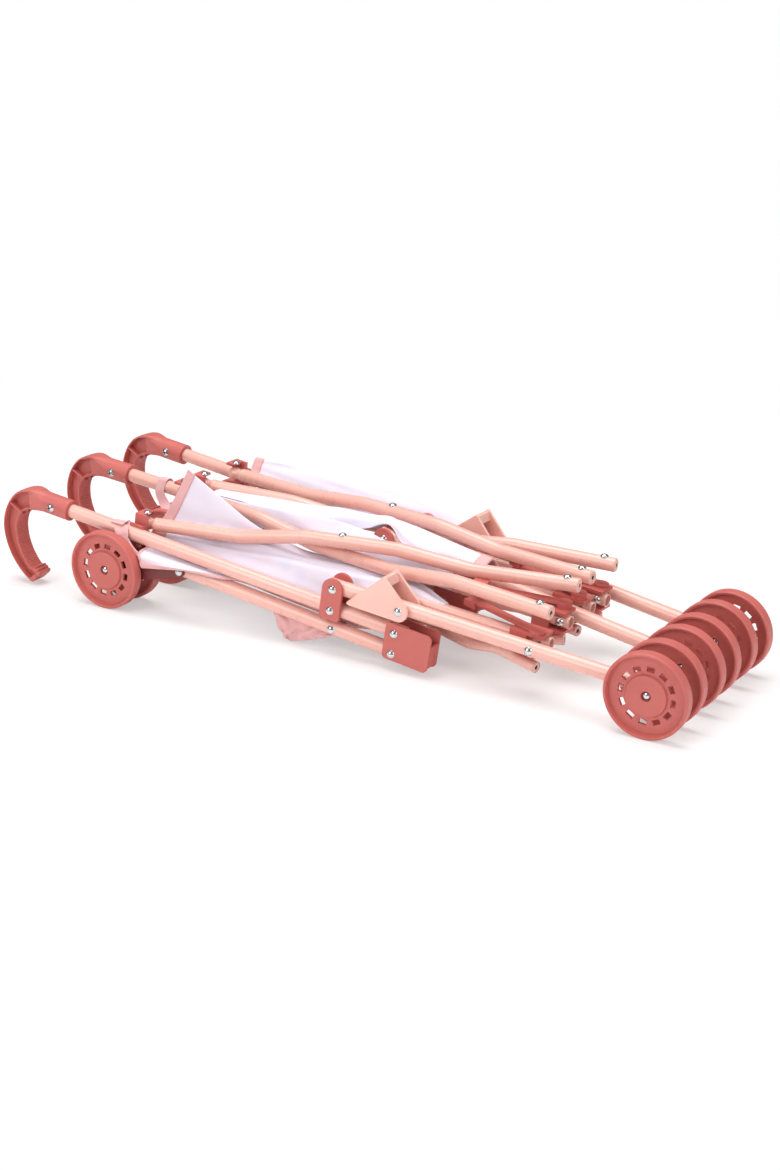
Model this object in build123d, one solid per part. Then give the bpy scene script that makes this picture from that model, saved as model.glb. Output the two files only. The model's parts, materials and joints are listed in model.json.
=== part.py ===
from build123d import *
import math
import os

# Folded twin doll stroller lying on its wheels. Millimetres and degrees.
# +X runs from the handles to the rear wheels, +Y across the frames, +Z up.

# Overall layout
REAR_AXLE_X = 300.1
FRAME_PITCH = 66.0
FRAME_FAN = 1.6
FRAMES = ("near", "centre", "far")
SIDE = {"near": -1, "centre": 0, "far": 1}
INNER_SIDES = {"near": (1,), "centre": (-1, 1), "far": (-1,)}
REAR_SLOPE = {"near": 5.1, "centre": 9.9, "far": 8.5}
HANDLE_SLOPE = {"near": 7.2, "centre": 5.0, "far": 6.3}

# Wheels and axles
WHEEL_DIA = 70.0
WHEEL_WIDTH = 10.0
WHEEL_OFFSET = 15.0
WHEEL_WEB = 2.5
WHEEL_RIM = 3.5
HUB_BOSS_DIA = 16.0
HUB_BOSS_REACH = 6.2
HUB_DISC_DIA = 35.0
HUB_DISC_RISE = 1.8
HUB_RECESS_DIA = 8.4
WINDOW_COUNT = 12
WINDOW_CIRCLE_DIA = 43.5
WINDOW_LENGTH = 6.5
WINDOW_HEIGHT = 4.2
AXLE_DIA = 5.0
CAP_DIA = 6.8
CAP_HEIGHT = 2.0
RUNNING_GAP = 0.05
SIDE_GAP = 0.3

# Tubes
TUBE_DIA = 12.5
TUBE_WALL = 1.0
TUBE_OVERRUN = 7.0
REAR_LEG_LENGTH = 286.2
HANDLE_TUBE_LENGTH = 376.0
FRONT_TUBE_LENGTH = 250.0
FRONT_AXLE_BACK = 285.4
FRONT_AXLE_DROP = 19.6
FORK_RIVET_BACK = 214.5
FORK_BOSS_DIA = 25.0

# Rivets
RIVET_DIA = 4.0
RIVET_HEAD_DIA = 7.4
RIVET_HEAD_HEIGHT = 2.0
PLATE_GAP = 0.2

# Leg link on the handle tube
LINK_BACK = 61.5
LINK_RISE = 19.3
LINK_WIDTH = 19.0
LINK_WALL = 3.0
LINK_WEB = 1.4

# Knee bracket on the front leg
KNEE_DROP = 18.5
KNEE_WALL = 2.0
KNEE_BACK = 8.0
KNEE_FRONT = 34.5
KNEE_RISE = 9.0
KNEE_FOOT = 5.0
KNEE_WEB = 2.2
KNEE_WEB_TOP = -1.2
KNEE_CORNER = 4.0
KNEE_FLOOR_START = 10.0

# Lock lever on the rear leg
LEVER_PIN = 64.0
LEVER_WALL = 2.5
LEVER_EYE_DIA = 17.0
LEVER_TIP = (-46.5, -6.0)
LEVER_TOP = (-16.0, 24.5)
LEVER_CORNER = 1.5
LEVER_WEB = 2.2
LEVER_BACK = 21.0
LEVER_CAP = 8.0

# Handle grip
SOCKET_INSERT = 37.0
SOCKET_SCREW_IN = 17.0
SOCKET_LENGTH = 44.0
SOCKET_DIA = 19.0
GRIP_WIDTH = 17.0
HOOK_REACH = 69.8
HOOK_BEND_DROP = 27.0
HOOK_DROP = 79.0
HOOK_TIP_BACK = 27.0
HOOK_THICK = 16.0
HOOK_COLLAR = 7.0
HOOK_CORNER = 3.0
POCKET_DEPTH = 4.0
POCKET_RIM = 3.0
RIB_WIDTH = 2.0

# Seat rail, yoke and spreader arm on the rear leg
RAIL_PIVOT = 180.0
RAIL_DIA = 11.0
RAIL_OFFSET = 19.5
RAIL_AHEAD = 8.0
RAIL_LENGTH = 152.0
RAIL_TILT = 5.0
YOKE_PIN_BACK = 3.0
YOKE_PIN_OFFSET = 13.0
YOKE_INNER = 7.2
YOKE_WALL = 1.5
YOKE_BACK = 24.0
YOKE_BLOCK_FRONT = 9.0
YOKE_NOSE = 5.0
YOKE_BLOCK_TOP = 6.2
YOKE_PLATE = 2.5
YOKE_BLOCK_DROP = 7.5
YOKE_PIN_DIA = 6.0
ARM_LENGTH = 70.0
ARM_WIDTH = 9.0
ARM_THICK = 2.0
ARM_EYE_DIA = 13.0
ARM_BLOCK = 12.0
ARM_BLOCK_HEIGHT = 5.5
ARM_GAP = 0.3

# Back braces and their clips on the handle tubes
BRACE_DIA = 12.0
BRACE_NECK_DIA = 8.4
BRACE_NECK = 9.0
BRACE_BALL_DIA = 12.6
BRACE_END = 10.0
BRACE_RISE = 29.0
BRACE_CROSS_GAP = 1.6
BRACE_BEND = 60.0
CLIP_BACK = 268.0
CLIP_OFFSET = 15.0
CLIP_RISE = 6.5
CLIP_LENGTH = 13.0
CLIP_RING_DIA = 18.0
CLIP_PLATE = 2.2
CLIP_PLATE_GAP = 1.9
CLIP_NOSE = 2.0
CLIP_POST_DIA = 3.0

# Lower braces between the yokes and the front legs
LOWER_DIA = 9.5
LOWER_BALL_DIA = 12.2
LOWER_DROP = 20.0
LOWER_CROSS_GAP = 1.6
LOWER_BEND = 40.0
LOWER_POST_DIA = 4.0
LOWER_BACK = 59.5
LOWER_OFFSET = 17.0
LOWER_SPACER_DIA = 8.0

# Seat cloth: stations behind the centre leg pivot, with heights of the folds over that pivot
CLOTH_THICK = 1.6
CLOTH_STATIONS = (188.0, 179.0, 93.0, 68.0, 21.0)
CLOTH_FLAP_NEAR = (0.0, 34.0, 2.0, -27.0, -32.0)
CLOTH_FLAP_FAR = (4.0, 22.0, 19.0, 14.0, 0.0)
CLOTH_FLAP_WIDTH = 3.0
CLOTH_FLAP_SHIFT = 1.5
CLOTH_PLEAT = 2.2
CLOTH_FLAP_FOOT = -26.0
CLOTH_BILLOW_DROP = 3.0
CLOTH_FOLD_WIDTH = 4.0
CLOTH_FOLD_STEP = 14.0
CLOTH_VALLEY = -56.0
CLOTH_RIDGE = -28.0
CLOTH_GAP = 0.4

TUBE_R = TUBE_DIA / 2
SOCKET_MOUTH_BACK = HANDLE_TUBE_LENGTH - SOCKET_INSERT
HANDLE_SCREW_BACK = SOCKET_MOUTH_BACK + SOCKET_SCREW_IN
AXLE_Z = WHEEL_DIA / 2
PLATE_IN = TUBE_R + PLATE_GAP
LINK_OUT = PLATE_IN + LINK_WALL
KNEE_OUT = PLATE_IN + KNEE_WALL
LEVER_IN = KNEE_OUT + 2 * PLATE_GAP
LEVER_OUT = LEVER_IN + LEVER_WALL
KNEE_LOW = -KNEE_DROP - KNEE_FOOT
AXLE_DROP = -KNEE_DROP - FRONT_AXLE_DROP


def rod_x(radius, start, end, y=0.0, z=0.0):
    """Cylinder along X between two stations."""
    return Pos((start + end) / 2, y, z) * Rot(0, 90, 0) * Cylinder(radius, abs(end - start))


def rod_y(radius, start, end, x=0.0, z=0.0):
    """Cylinder along Y between two stations."""
    return Pos(x, (start + end) / 2, z) * Rot(90, 0, 0) * Cylinder(radius, abs(end - start))


def rod_z(radius, start, end, x=0.0, y=0.0):
    """Cylinder along Z between two stations."""
    return Pos(x, y, (start + end) / 2) * Cylinder(radius, abs(end - start))


def block(x0, x1, y0, y1, z0, z1):
    """Box between two corners."""
    return Pos((x0 + x1) / 2, (y0 + y1) / 2, (z0 + z1) / 2) * Box(abs(x1 - x0), abs(y1 - y0), abs(z1 - z0))


def dome(diameter, height):
    """Spherical cap with its flat face on Z = 0."""
    base = diameter / 2
    radius = (base * base + height * height) / (2 * height)
    return Pos(0, 0, height - radius) * Sphere(radius) & rod_z(base, 0, height)


def rivet_y(x, z, low, high, diameter=RIVET_DIA):
    """Rivet along Y with a domed head outside each end of its grip."""
    head = dome(RIVET_HEAD_DIA, RIVET_HEAD_HEIGHT)
    shank = rod_y(diameter / 2, low, high, x, z)
    near_head = Pos(x, low, z) * Rot(90, 0, 0) * head
    far_head = Pos(x, high, z) * Rot(-90, 0, 0) * head
    return shank + near_head + far_head


def hole_y(x, z, low, high, gap=RUNNING_GAP, diameter=RIVET_DIA):
    """Cutter for a rivet hole along Y."""
    return rod_y(diameter / 2 + gap, low, high, x, z)


def plate_y(face, low, high):
    """Plate made from a face drawn in the X-Z plane, between two Y stations."""
    return extrude(Pos(0, high, 0) * face, amount=high - low, dir=(0, -1, 0))


def capsule(centres):
    """Face in the X-Z plane: the hull of circles given as (x, z, radius)."""
    circles = [Pos(x, z) * Circle(radius) for x, z, radius in centres]
    rims = [edge for circle in circles for edge in circle.edges()]
    return Plane.XZ * make_hull(rims)


def straight_tube(start, end, y=0.0, z=0.0, diameter=TUBE_DIA):
    """Hollow tube along X, open at both ends."""
    return rod_x(diameter / 2, start, end, y, z) - rod_x(diameter / 2 - TUBE_WALL, start, end, y, z)


def tilt(x, z, angle):
    """Turn a point of the X-Z plane about +Y."""
    c = math.cos(math.radians(angle))
    s = math.sin(math.radians(angle))
    return (x * c + z * s, z * c - x * s)


# Places of the pivots in each side frame

def leg_top(name):
    """Rear leg's top pivot in the plane of its side frame, from the rear axle's foot."""
    x, z = tilt(-REAR_LEG_LENGTH, 0, REAR_SLOPE[name])
    return (x, z + AXLE_Z)


def knee(name):
    """Knee pivot in the plane of the side frame."""
    top_x, top_z = leg_top(name)
    x, z = tilt(-LINK_BACK, LINK_RISE, HANDLE_SLOPE[name])
    return (top_x - x, top_z - z)


def front_slope(name):
    """Slope of the front leg that stands its wheels on the floor."""
    reach = math.hypot(FRONT_AXLE_BACK, AXLE_DROP)
    lean = math.degrees(math.atan2(-AXLE_DROP, FRONT_AXLE_BACK))
    return lean + math.degrees(math.asin((AXLE_Z - knee(name)[1]) / reach))


def frame_place(name):
    """Placement of a side frame, fanned out from the centre one."""
    side = SIDE[name]
    return Pos(REAR_AXLE_X, side * FRAME_PITCH, 0) * Rot(0, 0, -side * FRAME_FAN)


def handle_place(name):
    """Placement of the handle tube's body: origin at the knee pivot."""
    x, z = knee(name)
    return frame_place(name) * Pos(x, 0, z) * Rot(0, HANDLE_SLOPE[name], 0)


def rear_place(name):
    """Placement of the rear leg: origin at its top pivot."""
    x, z = leg_top(name)
    return frame_place(name) * Pos(x, 0, z) * Rot(0, REAR_SLOPE[name], 0)


def front_place(name):
    """Placement of the front leg: origin at the knee pivot."""
    x, z = knee(name)
    return frame_place(name) * Pos(x, 0, z) * Rot(0, front_slope(name), 0)


def rail_place(name):
    """Placement of the seat rail: origin at its pivot on the rear leg."""
    return rear_place(name) * Pos(RAIL_PIVOT, 0, 0) * Rot(0, RAIL_TILT - REAR_SLOPE[name], 0)


def point_at(place, x, y, z):
    """Point of a placed body in the row frame."""
    return (place * Pos(x, y, z)).position


def clip_pivot(name, side):
    """Centre of a back brace's ball in its clip."""
    return point_at(handle_place(name), -CLIP_BACK, side * CLIP_OFFSET, CLIP_RISE)


def brace_seat(name, side):
    """Point above the yoke where a back brace's lower rivet stands."""
    return point_at(rail_place(name), -YOKE_PIN_BACK, side * YOKE_PIN_OFFSET, BRACE_RISE)


def yoke_ball(name, side):
    """Centre of a lower brace's ball under the yoke."""
    return point_at(rail_place(name), -YOKE_PIN_BACK, side * YOKE_PIN_OFFSET, -LOWER_DROP)


def front_seat(name, side):
    """Point beside the front leg where a lower brace ends."""
    return point_at(front_place(name), -LOWER_BACK, side * LOWER_OFFSET, -KNEE_DROP)


# Back and lower braces: name, start frame and side, end frame and side, and layer at the crossing
BACK_BRACES = (
    ("back_brace_near_to_centre", ("near", 1), ("centre", -1), 1),
    ("back_brace_centre_to_near", ("centre", -1), ("near", 1), -1),
    ("back_brace_far_to_centre", ("far", -1), ("centre", 1), 1),
    ("back_brace_centre_to_far", ("centre", 1), ("far", -1), -1),
)
LOWER_BRACES = (
    ("lower_brace_near_to_centre", ("near", 1), ("centre", -1), -1),
    ("lower_brace_centre_to_near", ("centre", -1), ("near", 1), 1),
    ("lower_brace_far_to_centre", ("far", -1), ("centre", 1), -1),
    ("lower_brace_centre_to_far", ("centre", 1), ("far", -1), 1),
)


# Pieces of the handle tube's body

def handle_tube():
    """Long tube from the knee pivot up into the handle."""
    tube = straight_tube(-HANDLE_TUBE_LENGTH, TUBE_OVERRUN)
    for x in (0, -LINK_BACK, -HANDLE_SCREW_BACK):
        tube -= hole_y(x, 0, -TUBE_DIA, TUBE_DIA)
    return tube


def grip_face():
    """Side outline of the hooked grip, from its socket to its tip."""
    crown = SOCKET_DIA / 2
    bend = -HOOK_BEND_DROP
    back = -HOOK_REACH
    inside = back + HOOK_THICK
    tip = -HOOK_DROP
    low = (bend + tip) / 2
    outer_top = (-SOCKET_LENGTH, crown)
    outer_left = (back, bend)
    outer_tip = (-HOOK_TIP_BACK - HOOK_THICK / 2 + 1, tip)
    inner_tip = (-HOOK_TIP_BACK, tip + HOOK_THICK / 2)
    inner_left = (inside, bend - 1)
    inner_top = (-SOCKET_LENGTH, -crown)
    edges = [
        ThreePointArc(outer_top, (back + 8.5, bend / 2 + 8.5), outer_left),
        ThreePointArc(outer_left, (back + 7.3, low - 0.5), outer_tip),
        ThreePointArc(outer_tip, (-HOOK_TIP_BACK - 0.5, tip + 0.2), inner_tip),
        ThreePointArc(inner_tip, (inside + 6.3, low + 2.5), inner_left),
        ThreePointArc(inner_left, (inside + 3.6, bend / 2 - 2.0), inner_top),
        Line(inner_top, outer_top),
    ]
    return make_face(edges)


def grip_rib(x, z, length, angle):
    """Stiffening rib across the grip's side pockets."""
    bar = Box(length, GRIP_WIDTH, RIB_WIDTH)
    return Pos(x, 0, z) * Rot(0, angle, 0) * bar


def handle():
    """Hooked grip with side pockets, a rib and a socket for the tube."""
    mouth = -SOCKET_MOUTH_BACK
    face = grip_face()
    half = GRIP_WIDTH / 2
    body = plate_y(Plane.XZ * face, -half, half)
    pocket_face = offset(face, -POCKET_RIM)
    pocket = plate_y(Plane.XZ * pocket_face, half - POCKET_DEPTH, half)
    pocket += plate_y(Plane.XZ * pocket_face, -half, POCKET_DEPTH - half)
    body -= pocket
    body += grip_rib(-56.0, -7.0, 17.0, 40.0) & plate_y(Plane.XZ * face, -half, half)
    neck = SOCKET_LENGTH - HOOK_COLLAR
    body += rod_x(SOCKET_DIA / 2, -neck, 0)
    end_plane = Plane(origin=(-neck, 0, 0), x_dir=(0, 1, 0), z_dir=(-1, 0, 0))
    square = RectangleRounded(GRIP_WIDTH, SOCKET_DIA, HOOK_CORNER)
    body += loft([end_plane * Circle(SOCKET_DIA / 2), end_plane.offset(HOOK_COLLAR) * square])
    tube_end = HANDLE_TUBE_LENGTH - SOCKET_MOUTH_BACK
    body -= rod_x(TUBE_R + RUNNING_GAP, -tube_end - PLATE_GAP, 1)
    body -= hole_y(SOCKET_MOUTH_BACK - HANDLE_SCREW_BACK, 0, -SOCKET_DIA, SOCKET_DIA)
    return Pos(mouth, 0, 0) * body


def leg_link():
    """U-shaped link riveted to the handle tube; the rear leg swings in its top."""
    half = LINK_WIDTH / 2
    web_top = -TUBE_R - PLATE_GAP
    low = web_top - LINK_WEB
    foot = half - LINK_WALL
    corners = [(-LINK_BACK + side * foot, low + LINK_WALL, LINK_WALL) for side in (-1, 1)]
    face = capsule([(-LINK_BACK, LINK_RISE, half)] + corners)
    link = plate_y(face, PLATE_IN, LINK_OUT) + plate_y(face, -LINK_OUT, -PLATE_IN)
    link += block(-LINK_BACK - foot, -LINK_BACK + foot, -PLATE_IN, PLATE_IN, low, web_top)
    for z in (0, LINK_RISE):
        link -= hole_y(-LINK_BACK, z, -2 * LINK_OUT, 2 * LINK_OUT)
    return link


def brace_clip(sides):
    """Clamp round the handle tube with a roof and a pivot post over each inner side."""
    half = CLIP_LENGTH / 2
    ball = BRACE_BALL_DIA / 2
    shelf = ball + CLIP_PLATE_GAP
    clip = rod_x(CLIP_RING_DIA / 2, -half, half)
    wall_in = CLIP_OFFSET - ball - 3 * PLATE_GAP - CLIP_PLATE
    high = CLIP_RISE + shelf + CLIP_PLATE
    for side in sides:
        clip += block(-half, half, side * wall_in, side * (wall_in + CLIP_PLATE), 0, high)
        reach = side * (CLIP_OFFSET + ball)
        clip += block(-half, CLIP_NOSE, side * wall_in, reach, high - CLIP_PLATE, high)
        clip += rod_z(CLIP_POST_DIA / 2, CLIP_RISE + ball + SIDE_GAP, high, 0, side * CLIP_OFFSET)
    clip -= rod_x(TUBE_R + RUNNING_GAP, -CLIP_LENGTH, CLIP_LENGTH)
    return Pos(-CLIP_BACK, 0, 0) * clip


def frame_rivets():
    """Handle screw, two link rivets and the knee pin of one side frame."""
    socket = SOCKET_DIA / 2
    loose = KNEE_OUT + PLATE_GAP
    return [
        rivet_y(-HANDLE_SCREW_BACK, 0, -socket, socket),
        rivet_y(-LINK_BACK, 0, -LINK_OUT, LINK_OUT),
        rivet_y(-LINK_BACK, LINK_RISE, -LINK_OUT, LINK_OUT),
        rivet_y(0, 0, -loose, loose),
    ]


# Pieces of the rear leg's body

def rear_leg(name):
    """Rear leg tube from its top pivot to the wheel axle."""
    tube = straight_tube(-TUBE_OVERRUN, REAR_LEG_LENGTH + TUBE_OVERRUN)
    tube -= hole_y(0, 0, -TUBE_DIA, TUBE_DIA)
    if name != "centre":
        tube -= hole_y(LEVER_PIN, 0, -TUBE_DIA, TUBE_DIA)
    tube -= hole_y(RAIL_PIVOT, 0, -TUBE_DIA, TUBE_DIA)
    tube -= hole_y(REAR_LEG_LENGTH, 0, -TUBE_DIA, TUBE_DIA, RUNNING_GAP, AXLE_DIA)
    return tube


def axle(collar_start):
    """Axle across a leg with collars that space the wheels and domed end caps."""
    hub_face = WHEEL_OFFSET - HUB_BOSS_REACH - SIDE_GAP
    end = WHEEL_OFFSET + WHEEL_WEB / 2
    pin = rod_y(AXLE_DIA / 2, -end, end)
    cap = dome(CAP_DIA, CAP_HEIGHT)
    for side in (-1, 1):
        if hub_face - collar_start > SIDE_GAP:
            pin += rod_y(CAP_DIA / 2, side * collar_start, side * hub_face)
        pin += Pos(0, side * end, 0) * Rot(-side * 90, 0, 0) * cap
    return pin


def rear_axle(name):
    """Wheel axle, rail rivet and lock lever pin of one rear leg."""
    pins = [Pos(REAR_LEG_LENGTH, 0, 0) * axle(TUBE_R)]
    reach = RAIL_OFFSET + RAIL_DIA / 2 + PLATE_GAP
    low = -reach if -1 in INNER_SIDES[name] else -TUBE_R
    high = reach if 1 in INNER_SIDES[name] else TUBE_R
    pins.append(rivet_y(RAIL_PIVOT, 0, low, high))
    if name != "centre":
        loose = LEVER_OUT + PLATE_GAP
        pins.append(rivet_y(LEVER_PIN, 0, -loose, loose))
    return pins


def lock_lever():
    """U-shaped triangular lever that straddles the rear leg."""
    tip_x, tip_z = LEVER_TIP
    top_x, top_z = LEVER_TOP
    eye = LEVER_EYE_DIA / 2
    face = capsule(((0, 0, eye), (tip_x, tip_z, LEVER_CORNER), (top_x, top_z, LEVER_CORNER)))
    lever = plate_y(face, LEVER_IN, LEVER_OUT) + plate_y(face, -LEVER_OUT, -LEVER_IN)
    run = math.hypot(top_x, top_z)
    sine = (eye - LEVER_CORNER) / run
    cosine = math.sqrt(1 - sine * sine)
    dir_x, dir_z = -top_x / run, -top_z / run
    front = (cosine * dir_x + sine * dir_z, cosine * dir_z - sine * dir_x)
    slope = math.hypot(tip_x - top_x, tip_z - top_z)
    back = ((tip_x - top_x) / slope, (tip_z - top_z) / slope)
    for (run_x, run_z), turn, length in ((front, 1, LEVER_CAP), (back, -1, LEVER_BACK)):
        out_x, out_z = -turn * run_z, turn * run_x
        start = (top_x + LEVER_CORNER * out_x, top_z + LEVER_CORNER * out_z)
        end = (start[0] + length * run_x, start[1] + length * run_z)
        inner_end = (end[0] - LEVER_WEB * out_x, end[1] - LEVER_WEB * out_z)
        inner_start = (start[0] - LEVER_WEB * out_x, start[1] - LEVER_WEB * out_z)
        web = make_face(Polyline(start, end, inner_end, inner_start, close=True))
        lever += plate_y(Plane.XZ * web, -LEVER_OUT, LEVER_OUT)
    lever -= hole_y(0, 0, -2 * LEVER_OUT, 2 * LEVER_OUT)
    return Pos(LEVER_PIN, 0, 0) * lever


# Pieces of the seat rail's body

def seat_rail(sides):
    """Seat rail tube on each inner side of the rear leg."""
    rails = []
    for side in sides:
        offset_y = side * RAIL_OFFSET
        rail = straight_tube(-RAIL_LENGTH, RAIL_AHEAD, offset_y, 0, RAIL_DIA)
        rails.append(rail - hole_y(0, 0, offset_y - RAIL_DIA, offset_y + RAIL_DIA))
    return rails


def arm_level(name):
    """Height of a spreader arm above the rail, one layer for each side of a gap."""
    layer = 1 if name == "centre" else 0
    return YOKE_BLOCK_TOP + YOKE_PLATE + ARM_GAP + layer * (ARM_THICK + 2 * ARM_GAP)


def yoke(name, side):
    """Knuckle clamped on the rail's end: plates above and below, an arm pin and a brace post."""
    inner = side * YOKE_INNER
    outer = side * (RAIL_OFFSET + RAIL_DIA / 2 + YOKE_WALL)
    body = block(-YOKE_BACK, -YOKE_BLOCK_FRONT, inner, outer, -YOKE_BLOCK_DROP, YOKE_BLOCK_TOP)
    top = YOKE_BLOCK_TOP + YOKE_PLATE
    low = -YOKE_BLOCK_DROP - YOKE_PLATE
    body += block(-YOKE_BACK, YOKE_NOSE, inner, outer, YOKE_BLOCK_TOP, top)
    body += block(-YOKE_BACK, YOKE_NOSE, inner, outer, low, -YOKE_BLOCK_DROP)
    pin_y = side * YOKE_PIN_OFFSET
    level = arm_level(name)
    body += rod_z(ARM_EYE_DIA / 2, top, level - ARM_GAP / 2, -YOKE_PIN_BACK, pin_y)
    body += rod_z(YOKE_PIN_DIA / 2, top, level + ARM_THICK + ARM_GAP, -YOKE_PIN_BACK, pin_y)
    post_tip = -LOWER_DROP + LOWER_BALL_DIA / 2 + SIDE_GAP
    body += rod_z(LOWER_POST_DIA / 2, post_tip, low, -YOKE_PIN_BACK, pin_y)
    body -= rod_x(RAIL_DIA / 2 + RUNNING_GAP, -2 * YOKE_BACK, 2 * YOKE_BACK, side * RAIL_OFFSET)
    return body


def rail_yoke(name):
    """Yokes of one rear leg, one on each inner side."""
    return [yoke(name, side) for side in INNER_SIDES[name]]


def arm_angle():
    """Angle in plan between a folded spreader arm and its rail."""
    gap = FRAME_PITCH / 2 - YOKE_PIN_OFFSET
    return math.degrees(math.asin(gap / ARM_LENGTH))


def spreader_arm(name, side):
    """Flat arm with an eye on the yoke's pin and a square end at the middle of the gap."""
    level = arm_level(name)
    top = level + ARM_THICK
    arm = rod_z(ARM_EYE_DIA / 2, level, top)
    arm += block(-ARM_LENGTH, 0, -ARM_WIDTH / 2, ARM_WIDTH / 2, level, top)
    base = level if name == "centre" else top - ARM_BLOCK_HEIGHT
    arm += block(-ARM_LENGTH - ARM_BLOCK / 2, -ARM_LENGTH + ARM_BLOCK / 2, -ARM_BLOCK / 2, ARM_BLOCK / 2,
                 base, base + ARM_BLOCK_HEIGHT)
    arm -= rod_z(YOKE_PIN_DIA / 2 + RUNNING_GAP, level - 1, top + 1)
    return Pos(-YOKE_PIN_BACK, side * YOKE_PIN_OFFSET, 0) * Rot(0, 0, -side * arm_angle()) * arm


# Pieces of the front leg's body

def front_leg():
    """Front leg tube from the knee bracket to the wheel fork."""
    tube = straight_tube(-FRONT_TUBE_LENGTH, TUBE_OVERRUN, 0, -KNEE_DROP)
    for x in (0, -LOWER_BACK, -FORK_RIVET_BACK):
        tube -= hole_y(x, -KNEE_DROP, -TUBE_DIA, TUBE_DIA)
    return tube


def knee_bracket():
    """U-channel riveted to the front leg's end that swings on the handle tube."""
    face = Pos((KNEE_FRONT - KNEE_BACK) / 2, (KNEE_RISE + KNEE_LOW) / 2) * RectangleRounded(
        KNEE_FRONT + KNEE_BACK, KNEE_RISE - KNEE_LOW, KNEE_CORNER)
    cheek = Plane.XZ * face
    bracket = plate_y(cheek, PLATE_IN, KNEE_OUT) + plate_y(cheek, -KNEE_OUT, -PLATE_IN)
    web_low = KNEE_LOW + KNEE_CORNER
    bracket += block(KNEE_FRONT - KNEE_WEB, KNEE_FRONT, -PLATE_IN, PLATE_IN, web_low, KNEE_WEB_TOP)
    floor_end = KNEE_FRONT - KNEE_CORNER
    bracket += block(KNEE_FLOOR_START, floor_end, -PLATE_IN, PLATE_IN, KNEE_LOW, KNEE_LOW + KNEE_WEB)
    for z in (0, -KNEE_DROP):
        bracket -= hole_y(0, z, -2 * KNEE_OUT, 2 * KNEE_OUT)
    return bracket


def front_fork():
    """Tapered fork that carries the front axle below the leg's tube."""
    axle_x = -FRONT_AXLE_BACK
    axle_z = AXLE_DROP
    face = capsule(((-FORK_RIVET_BACK, -KNEE_DROP, TUBE_R - 0.8), (axle_x, axle_z, FORK_BOSS_DIA / 2)))
    fork = plate_y(face, PLATE_IN, KNEE_OUT) + plate_y(face, -KNEE_OUT, -PLATE_IN)
    boss = FORK_BOSS_DIA
    window = block(axle_x - boss, axle_x + boss / 2, -KNEE_OUT, KNEE_OUT, axle_z - boss, axle_z - AXLE_DIA)
    fork += plate_y(face, -PLATE_IN, PLATE_IN) & window
    fork -= hole_y(-FORK_RIVET_BACK, -KNEE_DROP, -2 * KNEE_OUT, 2 * KNEE_OUT)
    fork -= hole_y(axle_x, axle_z, -2 * KNEE_OUT, 2 * KNEE_OUT, RUNNING_GAP, AXLE_DIA)
    return fork


def brace_rivet(sides):
    """Rivet across the front leg with a spacer toward each lower brace."""
    pin = rivet_y(-LOWER_BACK, -KNEE_DROP, -TUBE_R, TUBE_R)
    reach = LOWER_OFFSET - LOWER_DIA / 2 - SIDE_GAP
    for side in sides:
        pin += rod_y(LOWER_SPACER_DIA / 2, side * TUBE_R, side * reach, -LOWER_BACK, -KNEE_DROP)
    return pin


def front_axle(sides):
    """Wheel axle, fork rivet, brace rivet and knee rivet of one front leg."""
    axle_pin = Pos(-FRONT_AXLE_BACK, 0, AXLE_DROP) * axle(KNEE_OUT)
    return [
        axle_pin,
        rivet_y(-FORK_RIVET_BACK, -KNEE_DROP, -KNEE_OUT, KNEE_OUT),
        brace_rivet(sides),
        rivet_y(0, -KNEE_DROP, -KNEE_OUT, KNEE_OUT),
    ]


# Wheels

def wheel():
    """One wheel about Z with its outer face up: rim, pierced web, raised hub disc and inner boss."""
    rim = WHEEL_DIA / 2
    half = WHEEL_WIDTH / 2
    web = WHEEL_WEB / 2
    seat = web - SIDE_GAP
    bore = AXLE_DIA / 2 + RUNNING_GAP
    disc = HUB_DISC_DIA / 2
    boss = HUB_BOSS_DIA / 2
    recess = HUB_RECESS_DIA / 2
    disc_top = web + HUB_DISC_RISE
    edge = 1.0
    section = Polyline(
        (bore, -HUB_BOSS_REACH), (boss, -HUB_BOSS_REACH), (boss, -web), (rim - WHEEL_RIM, -web),
        (rim - WHEEL_RIM + edge, -half), (rim - edge, -half), (rim, -half + edge), (rim, half - edge),
        (rim - edge, half), (rim - WHEEL_RIM + edge, half), (rim - WHEEL_RIM, web), (disc, web),
        (disc - edge, disc_top), (recess, disc_top), (recess, seat), (bore, seat), close=True)
    body = revolve(Plane.XZ * make_face(section), Axis.Z)
    window = Box(WINDOW_HEIGHT, WINDOW_LENGTH, WHEEL_WIDTH)
    for index in range(WINDOW_COUNT):
        body -= Rot(0, 0, index * 360 / WINDOW_COUNT) * Pos(WINDOW_CIRCLE_DIA / 2, 0, 0) * window
    return body


def wheel_pair(x, z):
    """Two wheels on one axle, outer faces outward."""
    one = wheel()
    return [Pos(x, side * WHEEL_OFFSET, z) * Rot(-side * 90, 0, 0) * one for side in (-1, 1)]


# Braces

def bowed_tube(start, end, bow, end_run, diameter, bend):
    """Tube from a start point to past an end point, bowed up or down at its middle."""
    a = Vector(start)
    b = Vector(end)
    along = (b - a).normalized()
    middle = (a + b) * 0.5 + Vector(0, 0, bow)
    quarter = (b - a) * 0.22
    flat = quarter * 0.5
    points = [a, a + quarter, middle - flat, middle + flat, b - quarter, b + along * end_run]
    path = FilletPolyline(*points, radius=bend)
    start_plane = Plane(origin=path @ 0, z_dir=path % 0)
    outer = sweep(start_plane * Circle(diameter / 2), path)
    inner = sweep(start_plane * Circle(diameter / 2 - TUBE_WALL), path)
    return outer - inner


def crossing_bow(pair, start_of, end_of, diameter, gap):
    """Bow that parts two crossing tubes by their diameter and a gap at the middle."""
    heights = {}
    for start, end, layer in pair:
        heights[layer] = (start_of(*start).Z + end_of(*end).Z) / 2
    return (diameter + gap - heights[1] + heights[-1]) / 2


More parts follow.
